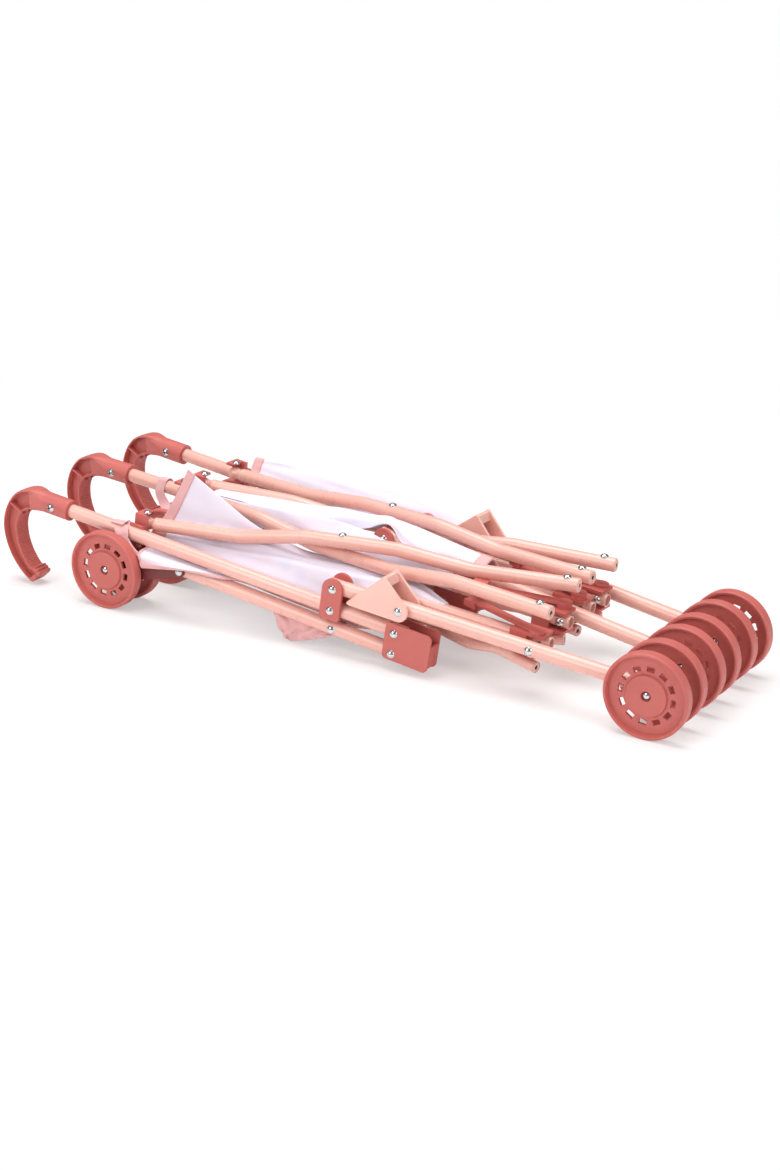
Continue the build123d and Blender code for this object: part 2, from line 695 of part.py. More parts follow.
def back_brace(start, end, bow):
    """Back brace: a ball and neck in the clip, then a bowed tube to the yoke."""
    ball_at = clip_pivot(*start)
    seat = brace_seat(*end)
    along = (seat - ball_at).normalized()
    neck_end = ball_at + along * (BRACE_NECK + BRACE_NECK / 3)
    tube = bowed_tube(ball_at + along * BRACE_NECK, seat, bow, BRACE_END, BRACE_DIA, BRACE_BEND)
    neck_plane = Plane(origin=ball_at, z_dir=along)
    neck = extrude(neck_plane * Circle(BRACE_NECK_DIA / 2), amount=(neck_end - ball_at).length)
    plug_plane = Plane(origin=ball_at + along * BRACE_NECK, z_dir=along)
    plug = extrude(plug_plane * Circle(BRACE_DIA / 2 - TUBE_WALL / 2), amount=BRACE_NECK / 3)
    return tube + neck + plug + Pos(*ball_at) * Sphere(BRACE_BALL_DIA / 2)


def lower_brace(start, end, bow):
    """Lower brace: a ball under the yoke, then a bowed tube to the front leg."""
    ball_at = yoke_ball(*start)
    seat = front_seat(*end)
    tube = bowed_tube(ball_at, seat, bow, 0.5, LOWER_DIA, LOWER_BEND)
    return tube + Pos(*ball_at) * Sphere(LOWER_BALL_DIA / 2)


# Seat cloth

def ribbon(points):
    """Closed outline of a folded strip of the cloth's thickness along (y, z) points."""
    runs = []
    for (y0, z0), (y1, z1) in zip(points, points[1:]):
        length = math.hypot(y1 - y0, z1 - z0)
        runs.append(((z0 - z1) / length, (y1 - y0) / length))
    upper = []
    lower = []
    for index, (y, z) in enumerate(points):
        before = runs[max(index - 1, 0)]
        after = runs[min(index, len(runs) - 1)]
        share = 1 + before[0] * after[0] + before[1] * after[1]
        out_y = CLOTH_THICK / 2 * (before[0] + after[0]) / share
        out_z = CLOTH_THICK / 2 * (before[1] + after[1]) / share
        upper.append((y + out_y, z + out_z))
        lower.append((y - out_y, z - out_z))
    return upper + lower[::-1]


def tube_at(name, x):
    """Side distance and height of a handle tube's axis at a station."""
    knee_x, knee_z = knee(name)
    away = abs(SIDE[name]) * (FRAME_PITCH - math.tan(math.radians(FRAME_FAN)) * x)
    return (away, knee_z + (knee_x - x) * math.tan(math.radians(HANDLE_SLOPE[name])))


def fold(start, width, z):
    """Flat crest or valley of a fold, from its outer edge inward."""
    return [(start, z), (start - width, z)]


def cloth_line(name, x, top):
    """Fold line of a seat cloth from an outer handle tube to the centre one at one station."""
    outer, outer_z = tube_at(name, x)
    centre_z = tube_at("centre", x)[1]
    pivot_z = leg_top("centre")[1]
    edge = TUBE_R + CLOTH_THICK / 2 + CLOTH_GAP
    crest = pivot_z + top
    valley = pivot_z + CLOTH_VALLEY
    inner = outer - 2 * CLOTH_FOLD_STEP + CLOTH_FOLD_WIDTH
    between = abs(clip_pivot(name, -SIDE[name]).Y + clip_pivot("centre", SIDE[name]).Y) / 2
    if name == "near":
        middle = between - CLOTH_FLAP_SHIFT
        folds = fold(outer - CLOTH_FOLD_STEP, CLOTH_FOLD_WIDTH, outer_z - CLOTH_BILLOW_DROP)
        folds += fold(inner, CLOTH_FOLD_WIDTH, valley)
        folds += fold(middle + CLOTH_FLAP_WIDTH / 2, CLOTH_FLAP_WIDTH, crest)
    else:
        flap = outer - edge - CLOTH_GAP / 2
        folds = fold(flap, CLOTH_PLEAT, crest) + [(flap - CLOTH_PLEAT, pivot_z + CLOTH_FLAP_FOOT)]
        folds += fold(inner, CLOTH_FOLD_WIDTH, valley)
        folds += fold(between + CLOTH_FOLD_WIDTH / 2, CLOTH_FOLD_WIDTH, pivot_z + CLOTH_RIDGE)
    folds += fold(2 * CLOTH_FOLD_STEP, CLOTH_FOLD_WIDTH, valley)
    line = [(outer - edge, outer_z)] + folds + [(edge, centre_z)]
    return [(SIDE[name] * y, z) for y, z in line]


def seat_cloth(name, tops):
    """Folded seat cloth between two side frames, with one fold standing up beside the braces."""
    sections = []
    for back, top in zip(CLOTH_STATIONS, tops):
        x = leg_top("centre")[0] - back
        points = [(REAR_AXLE_X + x, y, z) for y, z in ribbon(cloth_line(name, x, top))]
        sections.append(make_face(Polyline(*points, close=True)))
    return loft(sections, ruled=True)


# Assembly

def placed(place, shape):
    """Shape, or list of shapes, of one body moved to its place."""
    if isinstance(shape, list):
        return Compound(children=[place * one for one in shape])
    return place * shape


def assembly():
    """All nodes of the stroller by name."""
    nodes = {}
    for name in FRAMES:
        held = handle_place(name)
        nodes[f"handle_{name}"] = placed(held, handle())
        nodes[f"handle_tube_{name}"] = placed(held, handle_tube())
        nodes[f"leg_link_{name}"] = placed(held, leg_link())
        nodes[f"brace_clip_{name}"] = placed(held, brace_clip(INNER_SIDES[name]))
        nodes[f"frame_rivets_{name}"] = placed(held, frame_rivets())
        rear = rear_place(name)
        nodes[f"rear_leg_{name}"] = placed(rear, rear_leg(name))
        nodes[f"rear_axle_{name}"] = placed(rear, rear_axle(name))
        nodes[f"rear_wheels_{name}"] = placed(rear, wheel_pair(REAR_LEG_LENGTH, 0))
        if name != "centre":
            nodes[f"lock_lever_{name}"] = placed(rear, lock_lever())
        rail = rail_place(name)
        nodes[f"seat_rail_{name}"] = placed(rail, seat_rail(INNER_SIDES[name]))
        nodes[f"rail_yoke_{name}"] = placed(rail, rail_yoke(name))
        for side in INNER_SIDES[name]:
            gap = "near" if (name, side) in (("near", 1), ("centre", -1)) else "far"
            nodes[f"spreader_arm_{gap}_from_{name}"] = placed(rail, spreader_arm(name, side))
        front = front_place(name)
        nodes[f"front_leg_{name}"] = placed(front, front_leg())
        nodes[f"knee_bracket_{name}"] = placed(front, knee_bracket())
        nodes[f"front_fork_{name}"] = placed(front, front_fork())
        nodes[f"front_axle_{name}"] = placed(front, front_axle(INNER_SIDES[name]))
        nodes[f"front_wheels_{name}"] = placed(front, wheel_pair(-FRONT_AXLE_BACK, AXLE_DROP))
    for first in (0, 2):
        pair = [brace[1:] for brace in BACK_BRACES[first:first + 2]]
        bow = crossing_bow(pair, clip_pivot, brace_seat, BRACE_DIA, BRACE_CROSS_GAP)
        for node, start, end, layer in BACK_BRACES[first:first + 2]:
            nodes[node] = back_brace(start, end, layer * bow)
        pair = [brace[1:] for brace in LOWER_BRACES[first:first + 2]]
        bow = crossing_bow(pair, yoke_ball, front_seat, LOWER_DIA, LOWER_CROSS_GAP)
        for node, start, end, layer in LOWER_BRACES[first:first + 2]:
            nodes[node] = lower_brace(start, end, layer * bow)
    cloths = [seat_cloth("near", CLOTH_FLAP_NEAR), seat_cloth("far", CLOTH_FLAP_FAR)]
    nodes["seat_cloth"] = Compound(children=cloths)
    return nodes


os.makedirs("parts", exist_ok=True)
for node, shape in assembly().items():
    export_step(shape, f"parts/{node}.step")
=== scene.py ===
"""Dressing of a folded twin doll stroller: finishes, soft goods, small fittings, light and camera."""
from __future__ import annotations

import json
import logging
import math
from dataclasses import dataclass
from enum import Enum
from typing import Sequence

import bmesh
import bpy
import numpy as np
from mathutils import Matrix, Vector

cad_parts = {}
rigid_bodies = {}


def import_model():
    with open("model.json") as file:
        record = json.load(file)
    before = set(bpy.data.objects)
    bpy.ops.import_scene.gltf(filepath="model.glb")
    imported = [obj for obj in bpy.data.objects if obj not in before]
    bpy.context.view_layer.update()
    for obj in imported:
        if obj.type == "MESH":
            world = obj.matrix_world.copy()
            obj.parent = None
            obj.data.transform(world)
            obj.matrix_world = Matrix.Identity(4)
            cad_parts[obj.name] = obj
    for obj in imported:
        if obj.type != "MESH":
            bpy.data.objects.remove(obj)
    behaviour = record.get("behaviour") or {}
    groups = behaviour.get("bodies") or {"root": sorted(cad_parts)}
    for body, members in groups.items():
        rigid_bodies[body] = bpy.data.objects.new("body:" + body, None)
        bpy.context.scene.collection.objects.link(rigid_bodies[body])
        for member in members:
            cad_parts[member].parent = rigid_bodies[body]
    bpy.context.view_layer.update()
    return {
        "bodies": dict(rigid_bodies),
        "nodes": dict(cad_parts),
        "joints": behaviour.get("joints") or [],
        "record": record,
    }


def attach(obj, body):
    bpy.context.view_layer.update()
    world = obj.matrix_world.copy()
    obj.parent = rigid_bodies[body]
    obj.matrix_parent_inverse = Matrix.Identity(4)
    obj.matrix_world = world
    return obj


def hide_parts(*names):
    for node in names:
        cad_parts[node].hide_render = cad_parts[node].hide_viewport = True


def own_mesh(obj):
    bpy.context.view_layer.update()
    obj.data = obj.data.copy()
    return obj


LOG = logging.getLogger("stroller")
Array = np.ndarray
Colour = tuple[float, float, float]
Point = tuple[float, float, float]
MM = 0.001
AXLE_X = 0.3001
WAVE_SPACING = 0.314  # metres between the bands of a Wave texture of scale 1
WHITE = (1.0, 1.0, 1.0, 1.0)


class Side(Enum):
    """The three side frames, with their place across the stroller."""

    NEAR = -1
    CENTRE = 0
    FAR = 1

    @property
    def word(self) -> str:
        """Lower-case name used in node and piece names."""
        return self.name.lower()


class Coords(Enum):
    """Sources of a pattern's coordinates."""

    OBJECT = "Object"
    UV = "UV"


# Shader expressions


class Wire:
    """A socket of a node tree whose operators add Math nodes."""

    def __init__(self, kit: "NodeKit", socket: bpy.types.NodeSocket | None) -> None:
        self.kit = kit
        self.socket = socket

    def _math(self, operation: str, first: object, second: object) -> "Wire":
        """Add one Math node and return its output."""
        return self.kit.node("ShaderNodeMath", {"operation": operation}, {0: first, 1: second})

    def __add__(self, other: object) -> "Wire":
        """Sum."""
        return self._math("ADD", self, other)

    def __radd__(self, other: object) -> "Wire":
        """Sum with a number on the left."""
        return self._math("ADD", other, self)

    def __sub__(self, other: object) -> "Wire":
        """Difference."""
        return self._math("SUBTRACT", self, other)

    def __mul__(self, other: object) -> "Wire":
        """Product."""
        return self._math("MULTIPLY", self, other)


class NodeKit:
    """Makes the nodes of one material or of the world."""

    def __init__(self, owner: bpy.types.Material | bpy.types.World) -> None:
        """Start with an empty node tree.

        Args:
            owner: material or world that the nodes are for.
        """
        owner.use_nodes = True
        self.owner = owner
        self.tree = owner.node_tree
        self.tree.nodes.clear()

    @classmethod
    def for_material(cls, name: str) -> "NodeKit":
        """Kit of a new material."""
        return cls(bpy.data.materials.new(name))

    def node(self, kind: str, settings: dict | None = None, inputs: dict | None = None,
             out: int | str = 0) -> Wire:
        """Add one node.

        Args:
            kind: node type.
            settings: node properties, set first; "stops" fills a colour ramp.
            inputs: values or wires by socket name or index.
            out: output to return.

        Returns:
            The chosen output, empty for a node without outputs.
        """
        made = self.tree.nodes.new(kind)
        for key, value in (settings or {}).items():
            if key == "stops":
                ramp = made.color_ramp.elements
                while len(ramp) < len(value):
                    ramp.new(0.5)
                for element, (place, colour) in zip(ramp, value):
                    element.position = place
                    element.color = (*colour, 1.0)
            else:
                setattr(made, key, value)
        for key, value in (inputs or {}).items():
            if isinstance(value, Wire):
                self.tree.links.new(value.socket, made.inputs[key])
            else:
                made.inputs[key].default_value = value
        return Wire(self, made.outputs[out] if made.outputs else None)

    def coords(self, source: Coords) -> Wire:
        """Texture coordinates of one kind."""
        return self.node("ShaderNodeTexCoord", out=source.value)

    def noise(self, source: Wire, scale: float, detail: float = 3.0, roughness: float = 0.5) -> Wire:
        """Fractal noise value around one half."""
        inputs = {"Vector": source, "Scale": scale, "Detail": detail, "Roughness": roughness}
        return self.node("ShaderNodeTexNoise", {}, inputs, "Fac")

    def ramp(self, value: Wire, stops: Sequence[tuple[float, Colour]]) -> Wire:
        """Colour ramp of a value."""
        return self.node("ShaderNodeValToRGB", {"stops": stops}, {"Fac": value}, "Color")

    def wave(self, source: Wire, direction: str, spacing: float) -> Wire:
        """Bands across one direction, a given distance apart."""
        inputs = {"Vector": source, "Scale": WAVE_SPACING / spacing}
        return self.node("ShaderNodeTexWave", {"bands_direction": direction}, inputs, "Fac")

    def span(self, value: Wire, seen: tuple[float, float], given: tuple[float, float],
             form: str = "LINEAR") -> Wire:
        """Value carried from one range to another."""
        names = ("From Min", "From Max", "To Min", "To Max")
        inputs = {"Value": value, **dict(zip(names, (*seen, *given)))}
        return self.node("ShaderNodeMapRange", {"interpolation_type": form}, inputs)

    def mix(self, factor: Wire, first: Wire, second: Colour) -> Wire:
        """Mix of a colour's wire with a plain colour."""
        inputs = {0: factor, 6: first, 7: (*second, 1.0)}
        return self.node("ShaderNodeMix", {"data_type": "RGBA", "blend_type": "MIX"}, inputs, 2)

    def bump(self, height: Wire, distance: float, strength: float) -> Wire:
        """Bump normal from a height."""
        inputs = {"Height": height, "Distance": distance, "Strength": strength}
        return self.node("ShaderNodeBump", {}, inputs, "Normal")

    def surface(self, **inputs: object) -> bpy.types.Material:
        """Finish the material with one Principled shader.

        Args:
            inputs: shader inputs, with underscores for spaces.

        Returns:
            The finished material.
        """
        named = {key.replace("_", " "): value for key, value in inputs.items()}
        shader = self.node("ShaderNodeBsdfPrincipled", {}, named, "BSDF")
        self.node("ShaderNodeOutputMaterial", {}, {"Surface": shader})
        return self.owner


# Finishes


@dataclass(frozen=True)
class GlossPaint:
    """Thick gloss paint on steel tube: faint flow marks, soft colour drift and a clear skin."""

    name: str
    colour: Colour
    shade: Colour
    roughness: float = 0.34
    drift: float = 18.0
    haze: float = 140.0
    flow: float = 900.0

    def material(self) -> bpy.types.Material:
        """Build the paint's material."""
        kit = NodeKit.for_material(self.name)
        place = kit.coords(Coords.OBJECT)
        colour = kit.ramp(kit.noise(place, self.drift, 4.0), ((0.30, self.shade), (0.62, self.colour)))
        rough = self.roughness + (kit.noise(place, self.haze, 5.0) - 0.5) * 0.16
        normal = kit.bump(kit.noise(place, self.flow, 2.0), 0.00006, 0.35)
        return kit.surface(Base_Color=colour, Roughness=rough, Normal=normal, Coat_Weight=0.35,
                           Coat_Roughness=0.16, Specular_IOR_Level=0.5)


@dataclass(frozen=True)
class MouldedPlastic:
    """Satin moulded plastic: fine spark grain, slow colour drift and rubbed patches."""

    name: str
    colour: Colour
    shade: Colour
    roughness: float = 0.46
    drift: float = 26.0
    rub: float = 75.0
    grain: float = 1400.0
    depth: float = 0.00007
    glow: float = 0.0

    def material(self) -> bpy.types.Material:
        """Build the plastic's material."""
        kit = NodeKit.for_material(self.name)
        place = kit.coords(Coords.OBJECT)
        colour = kit.ramp(kit.noise(place, self.drift, 5.0, 0.6), ((0.28, self.shade), (0.66, self.colour)))
        rough = self.roughness + (kit.noise(place, self.rub, 6.0, 0.65) - 0.5) * 0.22
        normal = kit.bump(kit.noise(place, self.grain, 2.0), self.depth, 0.4)
        return kit.surface(Base_Color=colour, Roughness=rough, Normal=normal, Specular_IOR_Level=0.45,
                           Subsurface_Weight=self.glow, Subsurface_Radius=(1.0, 0.35, 0.2),
                           Subsurface_Scale=0.006)


@dataclass(frozen=True)
class PlatedSteel:
    """Bright plated rivets and axle caps with fine tumbling marks."""

    name: str
    colour: Colour
    roughness: float = 0.2
    haze: float = 220.0
    marks: float = 2200.0

    def material(self) -> bpy.types.Material:
        """Build the plating's material."""
        kit = NodeKit.for_material(self.name)
        place = kit.coords(Coords.OBJECT)
        haze = kit.noise(place, self.haze, 4.0)
        dull = tuple(0.86 * channel for channel in self.colour)
        colour = kit.ramp(haze, ((0.3, dull), (0.7, self.colour)))
        rough = self.roughness + (haze - 0.5) * 0.2
        normal = kit.bump(kit.noise(place, self.marks, 3.0), 0.00003, 0.3)
        return kit.surface(Base_Color=colour, Roughness=rough, Metallic=1.0, Normal=normal)


@dataclass(frozen=True)
class WovenCloth:
    """Thin plain-weave cloth with a faint scatter of soft blots; patterns in metres of flat cloth.

    Each blot is a colour, its cells per metre and its share at the middle.
    """

    name: str
    colour: Colour
    shade: Colour
    blots: tuple[tuple[Colour, float, float], ...]
    thread: float = 0.0009
    drift: float = 22.0
    slub: float = 260.0

    def spots(self, kit: NodeKit, cut: Wire, cells: float) -> Wire:
        """Soft round spots, 1 in their middle, one in each cell of a loose grid."""
        inputs = {"Vector": cut, "Scale": cells, "Randomness": 0.85}
        reach = kit.node("ShaderNodeTexVoronoi", {"feature": "F1"}, inputs, "Distance")
        return kit.span(reach, (0.14, 0.36), (1.0, 0.0))

    def material(self) -> bpy.types.Material:
        """Build the cloth's material."""
        kit = NodeKit.for_material(self.name)
        cut = kit.coords(Coords.UV)
        slub = kit.noise(cut, self.slub, 4.0, 0.6)
        colour = kit.ramp(kit.noise(cut, self.drift, 3.0), ((0.3, self.shade), (0.7, self.colour)))
        for blot, cells, share in self.blots:
            colour = kit.mix(self.spots(kit, cut, cells) * share, colour, blot)
        height = kit.wave(cut, "X", self.thread) * 0.3 + kit.wave(cut, "Y", self.thread) * 0.3 + slub * 0.8
        normal = kit.bump(height, 0.0002, 0.35)
        return kit.surface(Base_Color=colour, Roughness=0.82 + (slub - 0.5) * 0.2, Normal=normal,
                           Sheen_Weight=0.25, Specular_IOR_Level=0.25)


@dataclass(frozen=True)
class RibbedTape:
    """Folded binding tape: fine ribs across it under a short fuzz."""

    name: str
    colour: Colour
    shade: Colour
    rib: float = 0.0011
    fuzz: float = 420.0

    def material(self) -> bpy.types.Material:
        """Build the tape's material."""
        kit = NodeKit.for_material(self.name)
        cut = kit.coords(Coords.UV)
        fuzz = kit.noise(cut, self.fuzz, 4.0, 0.6)
        tone = kit.wave(cut, "X", self.rib) * 0.45 + fuzz * 0.55
        colour = kit.ramp(tone, ((0.25, self.shade), (0.7, self.colour)))
        normal = kit.bump(tone, 0.0003, 0.4)
        return kit.surface(Base_Color=colour, Roughness=0.8 + (fuzz - 0.5) * 0.2, Normal=normal,
                           Sheen_Weight=0.2, Specular_IOR_Level=0.25)


@dataclass(frozen=True)
class Finishes:
    """All finishes of the stroller, by record slot."""

    tube: GlossPaint = GlossPaint("peach_gloss_paint", (0.81, 0.44, 0.37), (0.775, 0.40, 0.33), 0.29)
    red: MouldedPlastic = MouldedPlastic("terracotta_plastic", (0.56, 0.135, 0.115), (0.50, 0.112, 0.096))
    # dark red plastic of the forks: its own colour, darkened further as painted shade for the shade between
    # the wheels
    dark: MouldedPlastic = MouldedPlastic("dark_red_plastic", (0.17, 0.030, 0.028), (0.14, 0.024, 0.022))
    lever: MouldedPlastic = MouldedPlastic("peach_plastic", (0.89, 0.54, 0.475), (0.86, 0.50, 0.43), glow=0.4)
    steel: PlatedSteel = PlatedSteel("plated_steel", (0.64, 0.66, 0.67), 0.14)
    cloth: WovenCloth = WovenCloth("lilac_weave", (0.80, 0.765, 0.865), (0.775, 0.72, 0.84),
                                   (((0.65, 0.68, 0.84), 41.0, 0.34), ((0.82, 0.64, 0.74), 29.0, 0.26)))
    tape: RibbedTape = RibbedTape("pink_tape", (0.80, 0.47, 0.47), (0.70, 0.37, 0.37))
    # painted shade: near-black fill standing in for the shade inside the plug bores and the screws' cross
    # recesses
    recess: MouldedPlastic = MouldedPlastic("dark_recess", (0.02, 0.013, 0.013), (0.012, 0.008, 0.008))

    def by_slot(self) -> dict[str, bpy.types.Material]:
        """Materials by the record's slot names."""
        return {
            "peach_paint": self.tube.material(),
            "red_plastic": self.red.material(),
            "dark_red_plastic": self.dark.material(),
            "peach_plastic": self.lever.material(),
            "chrome": self.steel.material(),
            "lilac_cloth": self.cloth.material(),
            "pink_tape": self.tape.material(),
            "dark_recess": self.recess.material(),
        }


# Places and meshes


def shift(x: float, y: float, z: float) -> Array:
    """Matrix that moves by a vector."""
    matrix = np.eye(4)
    matrix[:3, 3] = (x, y, z)
    return matrix


def turn(axis: str, degrees: float) -> Array:
    """Matrix that turns about one axis of the frame."""
    return np.array(Matrix.Rotation(math.radians(degrees), 4, axis))


def put(matrix: Array, points: Array) -> Array:
    """Points moved by a matrix."""
    return points @ matrix[:3, :3].T + matrix[:3, 3]


def from_axle(points: Array | Sequence) -> Array:
    """Points in metres, from millimetres counted from the rear axle's foot."""
    return np.array(points, dtype=float) * MM + (AXLE_X, 0.0, 0.0)


def linked(name: str, data: bpy.types.ID) -> bpy.types.Object:
    """New object in the scene, at the origin."""
    made = bpy.data.objects.new(name, data)
    bpy.context.scene.collection.objects.link(made)
    return made


def growth(value: Array, start: float, length: float) -> Array:
    """Share that grows evenly from 0 at a start to 1 one length further."""
    return np.clip((value - start) / length, 0.0, 1.0)


def eased(share: Array) -> Array:
    """Share with a soft start and end: 3 s squared less 2 s cubed."""
    return share * share * (3 - 2 * share)


def bar_profile(across: float, side: float, radius: float) -> Array:
    """Rounded rectangle of the given half sizes."""
    return rounded([(-across, -side), (across, -side), (across, side), (-across, side)], radius)


@dataclass(frozen=True)
class SideFrame:
    """Places of one side frame's bodies in metres, worked out as for the solids."""

    side: Side
    rear_slope: float
    handle_slope: float
    rear_axle_x: float = AXLE_X
    pitch: float = 0.066
    fan: float = 1.6
    wheel_radius: float = 0.035
    rear_leg: float = 0.2862
    link_back: float = 0.0615
    link_rise: float = 0.0193
    front_axle: tuple[float, float] = (-0.2854, -0.0381)
    rail_pivot: float = 0.180
    rail_tilt: float = 5.0

    def base(self) -> Array:
        """Frame's plane: origin on the floor under the rear axle, fanned out about Z."""
        across = self.side.value
        return shift(self.rear_axle_x, across * self.pitch, 0.0) @ turn("Z", -across * self.fan)

    def leg_top(self) -> Array:
        """Rear leg's top pivot in the frame's plane."""
        tip = put(turn("Y", self.rear_slope), np.array([-self.rear_leg, 0.0, 0.0]))
        return tip + (0.0, 0.0, self.wheel_radius)

    def knee(self) -> Array:
        """Knee pivot in the frame's plane."""
        link = put(turn("Y", self.handle_slope), np.array([-self.link_back, 0.0, self.link_rise]))
        return self.leg_top() - link

    def handle(self) -> Array:
        """Handle tube's place: origin at the knee, -X toward the handle."""
        return self.base() @ shift(*self.knee()) @ turn("Y", self.handle_slope)

    def rear(self) -> Array:
        """Rear leg's place: origin at its top pivot, +X toward the wheels."""
        return self.base() @ shift(*self.leg_top()) @ turn("Y", self.rear_slope)

    def front(self) -> Array:
        """Front leg's place: turned so that its axle stands one wheel radius over the floor."""
        back, drop = self.front_axle
        lean = math.degrees(math.atan2(-drop, -back))
        rise = (self.wheel_radius - self.knee()[2]) / math.hypot(back, drop)
        return self.base() @ shift(*self.knee()) @ turn("Y", lean + math.degrees(math.asin(rise)))

    def rail(self) -> Array:
        """Seat rail's place: origin at its pivot on the rear leg."""
        tilt = self.rail_tilt - self.rear_slope
        return self.rear() @ shift(self.rail_pivot, 0.0, 0.0) @ turn("Y", tilt)


FRAMES = {
    Side.NEAR: SideFrame(Side.NEAR, 5.1, 7.2),
    Side.CENTRE: SideFrame(Side.CENTRE, 9.9, 5.0),
    Side.FAR: SideFrame(Side.FAR, 8.5, 6.3),
}


class Patchwork:
    """Collects grid patches into one mesh, with a UV for each face corner."""

    def __init__(self) -> None:
        """Start with no patches."""
        self.points: list[Array] = []
        self.faces: list[list[int]] = []
        self.uvs: list[Array] = []
        self.count = 0

    def grid(self, points: Array, uv: Array | None = None, wrap: bool = False,
             flip: bool = False) -> "Patchwork":
        """Add a grid of points as quads.

        Args:
            points: rows by columns by 3.
            uv: rows by columns by 2, one column more where the grid wraps.
            wrap: join the last column to the first.
            flip: turn the faces over.

        Returns:
            The patchwork, for more patches.
        """
        rows, columns = points.shape[:2]
        last = columns if wrap else columns - 1
        i, j = np.meshgrid(np.arange(rows - 1), np.arange(last), indexing="ij")
        near, far = i.ravel(), i.ravel() + 1
        left, right = j.ravel(), j.ravel() + 1
        corners = [(near, left), (near, right), (far, right), (far, left)]
        if flip:
            corners.reverse()
        index = np.stack([a * columns + b % columns for a, b in corners], axis=1) + self.count
        if uv is None:
            wide = np.linspace(0.0, 1.0, columns + int(wrap))
            uv = np.stack(np.meshgrid(np.linspace(0.0, 1.0, rows), wide, indexing="ij"), axis=-1)
        self.points.append(points.reshape(-1, 3))
        self.faces.extend(index.tolist())
        self.uvs.append(np.stack([uv[a, b] for a, b in corners], axis=1).reshape(-1, 2))
        self.count += rows * columns
        return self

    def fan(self, ring: Array, flip: bool = False) -> "Patchwork":
        """Close a ring of points with triangles to its middle.

        Args:
            ring: points by 3, in order.
            flip: turn the faces over.

        Returns:
            The patchwork.
        """
        size = len(ring)
        first = np.arange(size)
        second = (first + 1) % size
        pair = (second, first) if flip else (first, second)
        faces = np.stack([*pair, np.full(size, size)], axis=1) + self.count
        self.points.append(np.vstack([ring, ring.mean(axis=0)]))
        self.faces.extend(faces.tolist())
        self.uvs.append(np.zeros((size * 3, 2)))
        self.count += size + 1
        return self

    def piece(self, name: str, material: bpy.types.Material, weld: float = 0.00001,
              crease: float = math.pi) -> bpy.types.Object:
        """Make the object, with doubled points merged.

        Args:
            name: piece's name.
            material: its finish.
            weld: distance within which points are one.
            crease: angle over which an edge is sharp.

        Returns:
            The new object at the origin.
        """
        mesh = bpy.data.meshes.new(name)
        mesh.from_pydata(np.vstack(self.points).tolist(), [], self.faces)
        layer = mesh.uv_layers.new(name="cut")
        layer.data.foreach_set("uv", np.vstack(self.uvs).ravel())
        if weld > 0.0:
            work = bmesh.new()
            work.from_mesh(mesh)
            bmesh.ops.remove_doubles(work, verts=work.verts, dist=weld)
            work.to_mesh(mesh)
            work.free()
        mesh.polygons.foreach_set("use_smooth", np.ones(len(mesh.polygons), dtype=bool))
        mesh.materials.append(material)
        mesh.set_sharp_from_angle(angle=crease)
        mesh.update()
        return linked(name, mesh)


def revolved(profile: Sequence[tuple[float, float]], segments: int = 40) -> Array:
    """Surface of revolution about Z: each (radius, height) of the profile turned through a full circle.

    Args:
        profile: radii and heights in metres, from first ring to last.
        segments: points round.

    Returns:
        Grid of points, rings by segments by 3.
    """
    radius, height = np.array(profile, dtype=float).T
    angle = np.linspace(0.0, 2 * math.pi, segments, endpoint=False)
    x = radius[:, None] * np.cos(angle)
    y = radius[:, None] * np.sin(angle)
    z = np.repeat(height[:, None], segments, axis=1)
    return np.stack([x, y, z], axis=-1)


def spline(points: Array, place: Array, axis: int = 0) -> Array:
    """Smooth curve through control points: a Catmull-Rom cubic on evenly spaced parameters.

    Args:
        points: control points along one axis.
        place: parameters of the samples, 0 at the first point and 1 at the last.
        axis: axis to resample.

    Returns:
        The resampled array.
    """
    held = np.moveaxis(points, axis, 0)
    padded = np.concatenate([2 * held[:1] - held[1:2], held, 2 * held[-1:] - held[-2:-1]])
    spot = np.asarray(place) * (len(held) - 1.0)
    index = np.clip(spot.astype(int), 0, len(held) - 2)
    u = (spot - index).reshape(-1, *([1] * (held.ndim - 1)))
    a, b, c, d = (padded[index + k] for k in range(4))
    out = 0.5 * (2 * b + (c - a) * u + (2 * a - 5 * b + 4 * c - d) * u**2 + (3 * b - 3 * c + d - a) * u**3)
    return np.moveaxis(out, 0, axis)


def rounded(corners: Sequence[tuple[float, float]], radius: float, steps: int = 4) -> Array:
    """Closed outline with rounded corners: a quadratic curve between points set back from each corner.

    Args:
        corners: outline's corners in order.
        radius: setback from each corner.
        steps: points per corner.

    Returns:
        Points of the outline.
    """
    point = np.array(corners, dtype=float)
    to_last = np.roll(point, 1, axis=0) - point
    to_next = np.roll(point, -1, axis=0) - point
    start = point + to_last * (radius / np.linalg.norm(to_last, axis=1))[:, None]
    end = point + to_next * (radius / np.linalg.norm(to_next, axis=1))[:, None]
    u = np.linspace(0.0, 1.0, steps)[None, :, None]
    curve = (1 - u) ** 2 * start[:, None] + 2 * u * (1 - u) * point[:, None] + u**2 * end[:, None]
    return curve.reshape(-1, 2)


def swept(path: Array, profile: Array, sideways: Array) -> Array:
    """Profile carried along a path: its first axis lies across the path, its second sideways.

    Args:
        path: points by 3.
        profile: rows of (out, side) offsets, one outline, or one outline for each path point.
        sideways: direction of the profile's second axis.

    Returns:
        Grid of points, path by profile by 3.
    """
    along = np.gradient(path, axis=0)
    along /= np.linalg.norm(along, axis=1)[:, None]
    out = np.cross(sideways, along)
    out /= np.linalg.norm(out, axis=1)[:, None]
    across = np.cross(along, out)
    outline = np.broadcast_to(profile, (len(path), *profile.shape[-2:]))
    return path[:, None] + outline[..., :1] * out[:, None] + outline[..., 1:] * across[:, None]


# Handles


